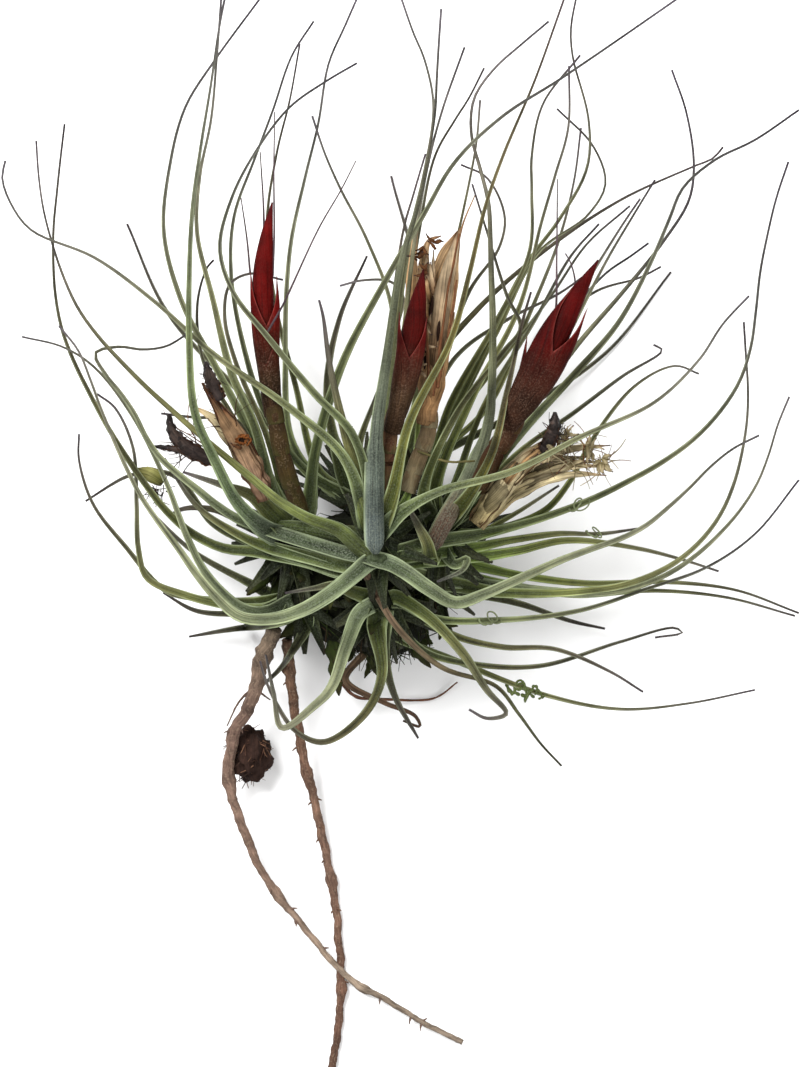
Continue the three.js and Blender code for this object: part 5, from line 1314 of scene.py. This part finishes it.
def fill_stalk(piece, name):
    """The stalk of a spike, wrapped by a few short papery sheaths."""
    item, stops = stalk_strands[name], STALK_STOPS[name]
    width = item.width
    points = item.points(STALK_POINTS)
    share = np.linspace(0, 1, STALK_POINTS)
    bulge = 1 + 0.07 * np.sin(share * 15) + 0.05 * np.sin(share * 37)
    add_tube(piece, points, width / 2 * bulge, blended(STALK_PLACES, stops, share), 0.7, sides=16, seed=width,
             rough=0.12)
    radius = width / 2 + STALK_WRAP_GAP
    for k, (start, end) in enumerate(STALK_WRAPS):
        turn = (-1) ** k
        part = points_at(np.linspace(start, end, 5), share, points)
        part[-1, 0] += 0.3 * width * turn
        row = (plan_of(part), part[[0, 2, 4], 2] + 0.1,
               (radius, radius * 1.05, radius, radius * 0.75, 0.3), (90 + 16 * turn, 90 - 60 * turn))
        add_wrapped(piece, row, stops + stops[-1:], SEAM_COLOUR * 0.5, k + 20)
    if name == "centre_spike":
        ring_at = placed(NODE_RING_AT, eased(item.z, STALK_POINTS)[NODE_RING_POINT])
        add_lump(piece, ring_at, NODE_RING_SIZE, 0.3, NODE_RING_TONE, rows=10, columns=20)
    if name == "dry_spike":
        add_tube(piece, thread_points(TWIG, TWIG_HEIGHTS, 50), (0.36, 0.26), TWIG_TONE, 0.3, rough=0.3)


# Roots
ROOT_PLACES = [0, 0.18, 0.5, 0.75, 1]
ROOT_STOPS = {
    "root_a": colours((94, 82, 68), (98, 78, 68), (104, 84, 72), (118, 104, 90), (106, 94, 82)),
    "root_b": colours((86, 66, 52), (92, 68, 54), (96, 74, 62), (88, 64, 52), (72, 52, 42)),
}
ROOT_POINTS = 260
ROOT_WANDER = 0.45
ROOT_WANDER_PACE = 26
ROOT_MOTTLE = 0.35
ROOT_MOTTLE_PACE = 60
ROOT_STUBS = 12
ROOT_STUB_LENGTHS = (0.8, 2.2)


def fill_root(piece, node):
    """A woody root with its rootlets."""
    ends, tone = ROOTS[node][0], ROOT_STOPS[node][1]
    points = root_strands[node].points(ROOT_POINTS)
    share = np.linspace(0, 1, ROOT_POINTS)
    radii = root_width(*ends)(share) / 2
    wander = np.stack([wavering(share, ROOT_WANDER_PACE, k * 9.1, ends[0]) for k in range(2)], axis=-1)
    points[:, :2] += wander * ROOT_WANDER * np.minimum(1, share[:, None] * 20)
    points[:, 2] = np.maximum(points[:, 2], radii * 1.02)
    mottled = blended(ROOT_PLACES, ROOT_STOPS[node], share)
    mottled = mottled * (1 + ROOT_MOTTLE * wavering(share, ROOT_MOTTLE_PACE, 3.3, ends[0]))[:, None]
    add_tube(piece, points, radii, mottled, 0.8, sides=14, seed=ends[0], rough=0.28)
    for rootlet in rootlet_strands:
        if rootlet.node == node:
            add_tube(piece, rootlet.points(40), (0.45, 0.18), tone, 0.4, sides=7, rough=0.3)
    add_root_stubs(piece, points, radii, tone, len(node) + int(ends[0]))


def add_root_stubs(piece, points, radii, tone, seed):
    """Broken ends of rootlets along a root."""
    random = np.random.default_rng(seed)
    side, over = frames(points)
    steps = np.linspace(0, 1, 6)[:, None]
    for _ in range(ROOT_STUBS):
        k = int(random.uniform(0.08, 0.95) * len(points))
        angle = random.uniform(-0.3, math.pi + 0.3)
        out = side[k] * math.cos(angle) + over[k] * max(0.05, math.sin(angle))
        length = random.uniform(*ROOT_STUB_LENGTHS)
        along = points[min(k + 4, len(points) - 1)] - points[k]
        stub = points[k] + out * (radii[k] * 0.6 + length * steps) + along * 0.3 * steps ** 2
        stub[:, 2] = np.maximum(stub[:, 2], 0.3)
        add_tube(piece, stub, (0.42, 0.14), tone * 0.9, 0.3, sides=5)


# The old woody base and the bark lump: lumps with their plan places and heights, sizes and roughness
BASE_LUMPS = [
    ((-2, -7, 12), (22, 15, 16), 0.1),
    ((-6, 0, 22), (20, 12, 12), 0.12),
    ((2, -14, 20), (12, 10, 13), 0.14),
    ((6, 8, 18), (15, 9, 14), 0.1),
]
BARK_LUMPS = [((-31, -48.6, 5.6), (5.2, 6.6, 5.6), 0.3), ((-33.4, -46, 4.4), (3, 3, 4.2), 0.4)]
LUMP_SLACK = 0.9
BASE_STUBS = [
    (5.4, (18, 16, 14), [(-9, -12), (-9.6, -20), (-9.6, -27), (-9, -34)]),
    (4.6, (18, 15, 12), [(-1, -16), (-1, -22), (0.6, -29)]),
    (4.4, (24, 22, 18), [(5, -14), (9, -21), (14, -27)]),
    (4.2, (22, 20, 18), [(-14, -10), (-18, -15), (-24, -19.6)]),
    (4.2, (20, 24, 30), [(6, 12), (9, 20), (8, 28)]),
    (3.8, (18, 14, 10), [(14, 4), (24, 8), (32, 14)]),
]
# Old stem and dead stub colours: their own dark greens and browns, deepened with painted shade under the
# crowns
OLD_AND_SHADED_TONES = colours((14, 16, 6), (24, 28, 11), (32, 33, 15), (30, 38, 13), (36, 27, 16))
DEAD_AND_SHADED_STOPS = colours((16, 19, 8), (26, 32, 11), (32, 40, 14), (44, 46, 22), (38, 32, 18))
BARK_TONES = colours((40, 27, 22), (70, 48, 38), (96, 70, 54))
BASE_ROOTLET_TONE = colour(92, 62, 48)
BASE_FIBRES = 420
BARK_FIBRES = 150
FIBRES_ABOVE = 0.8
FIBRE_BEND = 0.22
# Dead stubs: how many, above what height, below what Y, and their lengths and widths
DEAD_STUBS = 46
STUBS_ABOVE = 3
STUBS_BEFORE = 6
STUB_LENGTHS = (4, 10)
STUB_WIDTHS = (1.6, 3.4)


def outer_places(random, lumps, count, lowest, farthest=math.inf):
    """Random places on the outside of some lumps, each with its number and the way out from it."""
    centres = [true_place(at) for at, _, _ in lumps]
    sizes = [np.array(size) for _, size, _ in lumps]
    made = 0
    while made < count:
        k = random.integers(len(lumps))
        ball = random.normal(size=3)
        ball /= np.linalg.norm(ball)
        foot = centres[k] + ball * sizes[k]
        inside = any(np.sum(((foot - centre) / (size * LUMP_SLACK)) ** 2) < 1
                     for centre, size in zip(centres, sizes))
        if inside or foot[2] < lowest or foot[1] > farthest:
            continue
        made += 1
        out = ball / sizes[k]
        yield made, foot, out / np.linalg.norm(out)


def add_fibres(piece, lumps, count, reach, seed, tones, thick):
    """Coarse fibres that lie along the lumps and stand a little off them."""
    random = np.random.default_rng(seed)
    steps = np.linspace(0, 1, 9)[:, None]
    for made, foot, out in outer_places(random, lumps, count, FIBRES_ABOVE):
        lean = np.array([random.normal() * 0.6, -1 + random.normal() * 0.5, random.normal() * 0.3])
        lean -= out * (lean @ out)
        lean /= np.linalg.norm(lean)
        length = random.uniform(*reach)
        bend = random.normal(size=3) * FIBRE_BEND
        bend = out * random.uniform(0.1, 0.5) + bend
        path = foot - out * 0.5 + lean * length * steps + bend * length * 0.5 * steps ** 2
        path[:, 2] = np.maximum(path[:, 2], 0.25)
        radius = random.uniform(*thick)
        tone = tones[random.integers(len(tones))] * random.uniform(0.7, 1.3)
        add_tube(piece, path, (radius, radius * 0.4), tone, 0.4, sides=4, seed=made)


def add_dead_stubs(piece):
    """Stubs of old leaves, torn off short, all round the old stem."""
    random = np.random.default_rng(12)
    for made, foot, out in outer_places(random, BASE_LUMPS, DEAD_STUBS, STUBS_ABOVE, STUBS_BEFORE):
        lean = out * 0.9 + np.array([random.normal() * 0.3, -0.6, 0])
        length = random.uniform(*STUB_LENGTHS)
        tip = foot + lean / np.linalg.norm(lean) * length
        tip[2] = max(tip[2], 1.0)
        middle = (foot + tip)[:2] / 2 + random.normal(size=2) * 0.6
        stub = scrap(random.uniform(*STUB_WIDTHS), (foot[2], (foot + tip)[2] / 2, tip[2]),
                     unplaced([foot[:2], middle, tip[:2]], foot[2]), made)
        add_bract(piece, stub, 0, DEAD_AND_SHADED_STOPS, DEAD_AND_SHADED_STOPS[3], (-1) ** made, ring_count=16, ragged=0.5)


def fill_base(piece):
    """The old stem: lumps, sheath stubs, fibres and one rootlet."""
    for k, (at, size, roughness) in enumerate(BASE_LUMPS):
        add_lump(piece, true_place(at), size, roughness, OLD_AND_SHADED_TONES[0], rows=44, columns=64, seed=k * 3.1)
    for order, (width, heights, path) in enumerate(BASE_STUBS):
        stub = scrap(width, heights, path, order)
        for way, drop, ragged in ((-1, 0, 0.4), (1, 1.2, 0.5)):
            add_bract(piece, stub, 0, DEAD_AND_SHADED_STOPS, DEAD_AND_SHADED_STOPS[3], way, drop, ring_count=30, ragged=ragged)
    add_fibres(piece, BASE_LUMPS, BASE_FIBRES, (4, 11), 5, OLD_AND_SHADED_TONES, (0.12, 0.3))
    add_dead_stubs(piece)
    rootlet = rootlet_strands[3].points(60)
    add_tube(piece, rootlet, (0.5, 0.22), BASE_ROOTLET_TONE, 0.4, sides=7, rough=0.4)


def fill_bark(piece):
    """A lump of dark, fibrous bark."""
    for at, size, roughness in BARK_LUMPS:
        add_lump(piece, true_place(at), size, roughness, BARK_TONES[0], rows=34, columns=48, seed=8)
    add_fibres(piece, BARK_LUMPS, BARK_FIBRES, (1.5, 4.5), 9, BARK_TONES, (0.1, 0.26))


# Dry sheaths, husks and dead leaves
PINK_PAPER = colours((84, 64, 50), (98, 78, 62), (98, 78, 58), (86, 66, 46), (54, 33, 20))
TAN_PAPER = colours((88, 78, 54), (106, 96, 68), (120, 110, 84), (140, 128, 100), (92, 72, 48))
HUSK_STOPS = colours((22, 17, 16), (30, 24, 22), (26, 20, 18), (40, 32, 28), (22, 17, 15))
REMNANT_STOPS = colours((66, 66, 34), (96, 96, 50), (112, 110, 66), (92, 90, 50), (56, 46, 26))
STRIP_TINTS = (1.0, 1.9, 0.6, 2.1, 0.8, 1.5)
STRIP_POINTS = 40
STRIP_OVERLAP = 2.3
STRIP_EXTRA = 0.5
# The shares of a sheath's length at which its strips end, where they start to fray, and their arch
STRIP_ENDS = (0.72, 1)
FRAY_START = 0.55
STRIP_ARCH = 0.9


def strands_of(node):
    return [item for item in dry_strands if item.node == node]


def add_papery(piece, item, strips, stops, seed, fray=2.0, cover=1.0):
    """A dry sheath: ribbed strips side by side that fray apart towards its end."""
    random = np.random.default_rng(seed)
    points = item.points(STRIP_POINTS)
    side, _ = frames(points)
    share = np.linspace(0, 1, STRIP_POINTS)
    widths = solid_width("bract", share, item.width, item.length)
    for k in range(strips):
        place = -1 + 2 * (k + 0.5) / strips
        end = int(random.uniform(*STRIP_ENDS) * (STRIP_POINTS - 1))
        apart = place * (widths / 2 * cover + fray * np.clip(share - FRAY_START, 0, 1) ** 1.3)
        path = points + side * apart[:, None]
        path[:, 2] += (1 - place ** 2) * STRIP_ARCH + random.uniform(-0.3, 0.6) * share * fray
        path = path[:end + 1: 5]
        strip = scrap(item.width / strips * STRIP_OVERLAP + STRIP_EXTRA, (0, 0, 0), plan_of(path), k + seed)
        strip.z = eased(path[:, 2], SAMPLES)
        tint = STRIP_TINTS[k % len(STRIP_TINTS)]
        add_bract(piece, strip, 0.03, [stop * tint for stop in stops], STRAW_SEAM, (-1) ** k, ring_count=30,
                  scurfy=0.8, ragged=0.5)


def add_curls(piece, centre, z, count, reach, stops, seed, width=1.2):
    """Small torn curls of dry skin round a point."""
    random = np.random.default_rng(seed)
    for k in range(count):
        way, left = headed(random.uniform(0, 2 * math.pi))
        bend = left * random.uniform(-0.7, 0.7)
        length = random.uniform(*reach)
        foot = np.array(centre) + random.normal(size=2) * 0.7
        path = [foot, foot + way * length * 0.5 + bend, foot + way * length * 0.8 + bend * 3]
        rise = random.uniform(0, 1.6)
        curl = scrap(width * random.uniform(0.5, 1.2), (z, z + rise, z + rise * 0.4), path, k)
        add_bract(piece, curl, 0.1, stops, STRAW_SEAM, (-1) ** k, ring_count=18, ragged=0.4)


def add_threads(piece, centre, z, count, reach, tones, seed, spread_by=1.0, way=None):
    """Fine loose fibres from round a point."""
    random = np.random.default_rng(seed)
    steps = np.linspace(0, 1, 14)[:, None]
    for k in range(count):
        heading = random.uniform(0, 2 * math.pi) if way is None else way + random.normal() * 0.5
        lean = np.array([math.cos(heading), math.sin(heading), random.normal() * 0.15])
        bend = np.array([-lean[1], lean[0], random.normal() * 0.2]) * random.normal() * 0.6
        foot = placed(np.array(centre) + random.normal(size=2) * spread_by, z + random.normal() * 0.4)
        length = random.uniform(*reach)
        path = foot + lean * length * steps + bend * length * steps ** 2
        radius = random.uniform(0.08, 0.2)
        add_tube(piece, path, (radius, radius * 0.5), tones[k % len(tones)], 0.2, sides=4, seed=k)


# The rounded bodies of the dry sheaths: radii, facing and wrap, as in rows of wrapped bracts
LEFT_SPINDLE = ((0.4, 2.0, 3.2, 3.3, 2.2, 0.9, 0.3), (90, 96), (150, 146, 130, 96))
RIGHT_TRUMPET = ((0.4, 1.4, 2.3, 3.1, 3.0, 1.6), (90, 84), (150, 140, 116, 96))
SHELL_DROP = 1.2
SHELL_RIBS = 14
SHELL_POINTS = 60


def add_shell(piece, item, shape, stops, seed):
    """The rounded body of a dry sheath, with ribs along it."""
    radii = shape[0]
    row = (plan_of(item.points(5)), item.z[[0, SAMPLES // 2, -1]] - SHELL_DROP, *shape)
    add_wrapped(piece, row, stops, STRAW_SEAM, seed, scurfy=1.4, ragged=0.16)
    random = np.random.default_rng(seed)
    middle = item.points(SHELL_POINTS)
    side, over = frames(middle)
    steps = np.linspace(0.02, 0.95, 30)
    at = (steps * (SHELL_POINTS - 1)).astype(int)
    swell = np.interp(steps, np.linspace(0, 1, len(radii)), radii)
    for _ in range(SHELL_RIBS):
        turn = math.radians(random.uniform(35, 145))
        path = middle[at] + side[at] * (swell * math.cos(turn))[:, None]
        path += over[at] * (swell * WRAP_FLATNESS * math.sin(turn) - SHELL_DROP)[:, None]
        tone = stops[4] * random.choice((0.6, 1.3, 2.4))
        add_tube(piece, path, random.uniform(0.1, 0.22), tone, 0.2, sides=5, seed=seed)


# A torn hole in the sheath, with a curled brown rim: radius, height, start and thickness of each loop
HOLE_AT = (-33.2, 29.8)
HOLE_SAMPLE = 22
HOLE_RISE = 1.6
HOLE_SIZE = (0.8, 1.1, 0.5)
# A dark lump painted as the shade inside the torn hole
HOLE_SHADE_TONE = colour(26, 14, 7)
HOLE_BROWN = colour(92, 52, 22)
HOLE_RINGS = ((1.5, 0.4, 0.4, 0.4), (1.05, 0.8, 2.9, 0.32), (1.9, 0.2, 5.4, 0.26))
HOLE_ARC = 3.4
HOLE_OVAL = 0.75


def fill_left_sheath(piece):
    """A spindle of dry skin with a torn hole, and a dead blade beside it."""
    body, dead_blade = strands_of("left_dry_sheath")
    add_shell(piece, body, LEFT_SPINDLE, PINK_PAPER, 31)
    add_papery(piece, body, 4, PINK_PAPER, 35, fray=1.0, cover=0.35)
    hole = placed(HOLE_AT, body.z[HOLE_SAMPLE] + HOLE_RISE)
    # The hole is a dark lump: painted shade inside it
    add_lump(piece, hole, HOLE_SIZE, 0.3, HOLE_SHADE_TONE, rows=10, columns=16)
    for radius, height, start, thick in HOLE_RINGS:
        turn = np.linspace(start, start + HOLE_ARC, 40)
        loop = np.stack([radius * np.cos(turn), HOLE_OVAL * radius * np.sin(turn),
                         height + 0.5 * np.sin(turn * 0.5)], axis=-1)
        add_tube(piece, tangled(hole + loop, 0.4, start), (thick, 0.4 * thick), HOLE_BROWN, 0.9, sides=7,
                 rough=0.5)
    add_papery(piece, dead_blade, 2, TAN_PAPER, 32, fray=0.8, cover=0.5)
    z = np.interp(0.55, np.linspace(0, 1, SAMPLES), body.z)
    add_curls(piece, (-33.4, 29), z + 1.4, 4, (1.4, 2.8), BROWN_CURL, 33, width=0.8)
    add_threads(piece, (-36, 33), z + 1.2, 16, (3, 8), [PINK_PAPER[4], TAN_PAPER[1]], 34, way=2.2)


FRAYED_PLACES = ((44, 27), (49, 24), (53, 28), (57, 25), (47, 30))


def fill_right_sheath(piece):
    """A trumpet of dry skin, whose end is frayed to strips, curls and threads."""
    body, lower_strip, upper_strip = strands_of("right_dry_sheath")
    add_shell(piece, body, RIGHT_TRUMPET, TAN_PAPER, 45)
    add_papery(piece, body, 4, TAN_PAPER, 41, fray=2.4, cover=0.7)
    add_papery(piece, lower_strip, 4, TAN_PAPER, 42, fray=4.0)
    add_papery(piece, upper_strip, 3, TAN_PAPER, 43, fray=3.0)
    for k, at in enumerate(FRAYED_PLACES):
        z = np.interp(at[0], (36, 62), (body.z[24], lower_strip.z[-2])) + 0.6
        add_curls(piece, at, z, 6, (2, 5.5), TAN_PAPER, 44 + k)
        add_threads(piece, at, z, 16, (2.5, 7), [TAN_PAPER[1], TAN_PAPER[3], BROWN_CURL[2]], 54 + k)


# Loose fibres round the low left husk
HUSK_FIBRES_AT = (-44, 27)
HUSK_FIBRES_WAY = math.pi - 0.1


def fill_husk(piece, node, seed):
    """A black husk: a crumpled, hollow-backed scrap with ragged fibres."""
    for k, item in enumerate(strands_of(node)):
        share = np.linspace(0, 1, STRIP_POINTS)
        radii = 0.5 * item.width * np.sin(math.pi * np.clip(share * 0.9 + 0.08, 0, 1)) ** 0.7 + 0.15
        add_tube(piece, item.points(STRIP_POINTS), radii * 0.75, HUSK_STOPS[1], 0.2, sides=16, seed=seed + k,
                 rough=0.5)
        add_papery(piece, item, 3, HUSK_STOPS, seed + 3 * k, fray=0.3, cover=0.12)
        middle = SAMPLES // 2
        add_threads(piece, item.plan[middle], item.z[middle], 12, (1.6, 3.6), [HUSK_STOPS[3], BROWN_CURL[4]],
                    seed + 7)
    if node == "husk_left_lower":
        tones = [BROWN_CURL[0], BROWN_CURL[2], HUSK_STOPS[3]]
        add_threads(piece, HUSK_FIBRES_AT, strands_of(node)[0].z[SAMPLES // 2], 16, (6, 12), tones, seed + 9,
                    spread_by=1.6, way=HUSK_FIBRES_WAY)


def fill_remnant(piece):
    """A yellow-green scrap of two shells, with dark threads below it."""
    item, = strands_of("yellow_remnant")
    for way, drop, ragged in ((-1, 0, 0.2), (1, 1.6, 0)):
        add_bract(piece, item, 0.02, REMNANT_STOPS, REMNANT_STOPS[0], way, drop, 40, 0.4, ragged)
    tones = [*HUSK_STOPS[:2], BROWN_CURL[4]]
    add_threads(piece, (-54.6, 17.4), item.z[SAMPLES // 2] - 0.4, 30, (1.4, 4), tones, 61, way=-1.5)


DEAD_ORDER = 2000
DEAD_WIDTH_SHARE = 0.85


def fill_dead_leaf(piece, node):
    """A brown dead leaf, narrower than a living one and without a sheath."""
    item, = strands_of(node)
    item.style = node
    item.order = DEAD_ORDER
    add_leaf(piece, item, -1, look=(item.width * DEAD_WIDTH_SHARE, 0, 0, 0))


# The pieces, each of which stands for one solid
def make(name, material, node, slot, fill, *details):
    piece = Piece(name)
    fill(piece, *details)
    piece.build(material, [node])


for name in ROSETTES:
    slot = "grey_leaf" if name in GREY_ROSETTES else "green_leaf"
    make(f"{name}_leaves", LEAF, f"{name}_rosette", slot, fill_rosette, name, f"{name}_rosette")
for name in WRAPPED:
    make(f"{name}_shells", BRACT, f"{name}_bracts", "red_bract", fill_spike, name)
make("dry_spike_shells", PAPER, "dry_spike_bracts", "straw", fill_dry_spike)
for name in STALKS:
    make(f"{name}_skin", STALK, f"{name}_stalk", "stalk", fill_stalk, name)
for name in ROOTS:
    make(f"{name}_bark", BARKY, name, "root", fill_root, name)
make("clump_base_fibres", OLD, "clump_base", "old_stem", fill_base)
make("bark_lump_fibres", OLD, "bark_lump", "old_stem", fill_bark)
make("left_dry_paper", PAPER, "left_dry_sheath", "straw", fill_left_sheath)
make("right_dry_paper", PAPER, "right_dry_sheath", "straw", fill_right_sheath)
for name, seed in (("husk_left_upper", 71), ("husk_left_lower", 75), ("husk_right", 79)):
    make(f"{name}_scraps", HUSK, name, "husk", fill_husk, name, seed)
make("yellow_remnant_skin", PAPER, "yellow_remnant", "yellow_remnant", fill_remnant)
for name in ("dead_leaf_long", "dead_leaf_short"):
    make(f"{name}_blade", PAPER, name, "dead_leaf", fill_dead_leaf, name)

# Camera, floor and light
CAMERA_HEIGHT = VIEW_DISTANCE + CROWN_HEIGHT
VIEW_LENGTH = 266.75
SENSOR = 36
FLOOR_SIZE = 4
FLOOR_DROP = 0.0001
FLOOR_TONE = (0.9, 0.9, 0.9, 1)
SKY_STRENGTH = 0.72


def link(name, data):
    thing = bpy.data.objects.new(name, data)
    bpy.context.scene.collection.objects.link(thing)
    return thing


camera = bpy.data.cameras.new("camera")
camera.sensor_width = SENSOR
camera.lens = SENSOR * VIEW_DISTANCE / VIEW_LENGTH
camera.clip_start = 0.01
camera_object = link("camera", camera)
camera_object.location = (*VIEW_CENTRE * MM, CAMERA_HEIGHT * MM)
bpy.context.scene.camera = camera_object

bpy.ops.mesh.primitive_plane_add(size=FLOOR_SIZE, location=(0, 0, -FLOOR_DROP))
floor = bpy.context.object
floor.name = "floor"
floor_material = bpy.data.materials.new("floor")
floor_material.use_nodes = True
floor_shader = floor_material.node_tree.nodes["Principled BSDF"]
floor_shader.inputs["Base Color"].default_value = FLOOR_TONE
floor_shader.inputs["Roughness"].default_value = 0.9
floor.data.materials.append(floor_material)

world = bpy.data.worlds.new("world")
world.use_nodes = True
world.node_tree.nodes["Background"].inputs["Color"].default_value = (1, 1, 1, 1)
world.node_tree.nodes["Background"].inputs["Strength"].default_value = SKY_STRENGTH
bpy.context.scene.world = world
bpy.context.scene.view_settings.view_transform = "Standard"


def area_light(name, place, size, power):
    """A round light that shines at the plant."""
    light = bpy.data.lights.new(name, "AREA")
    light.shape = "DISK"
    light.size = size
    light.energy = power
    thing = link(name, light)
    thing.location = place
    thing.rotation_euler = (-Vector(place)).to_track_quat("-Z", "Y").to_euler()


area_light("key", (-0.5, 0.55, 1.0), 0.6, 24)
area_light("fill", (0.7, -0.4, 0.9), 0.9, 6)
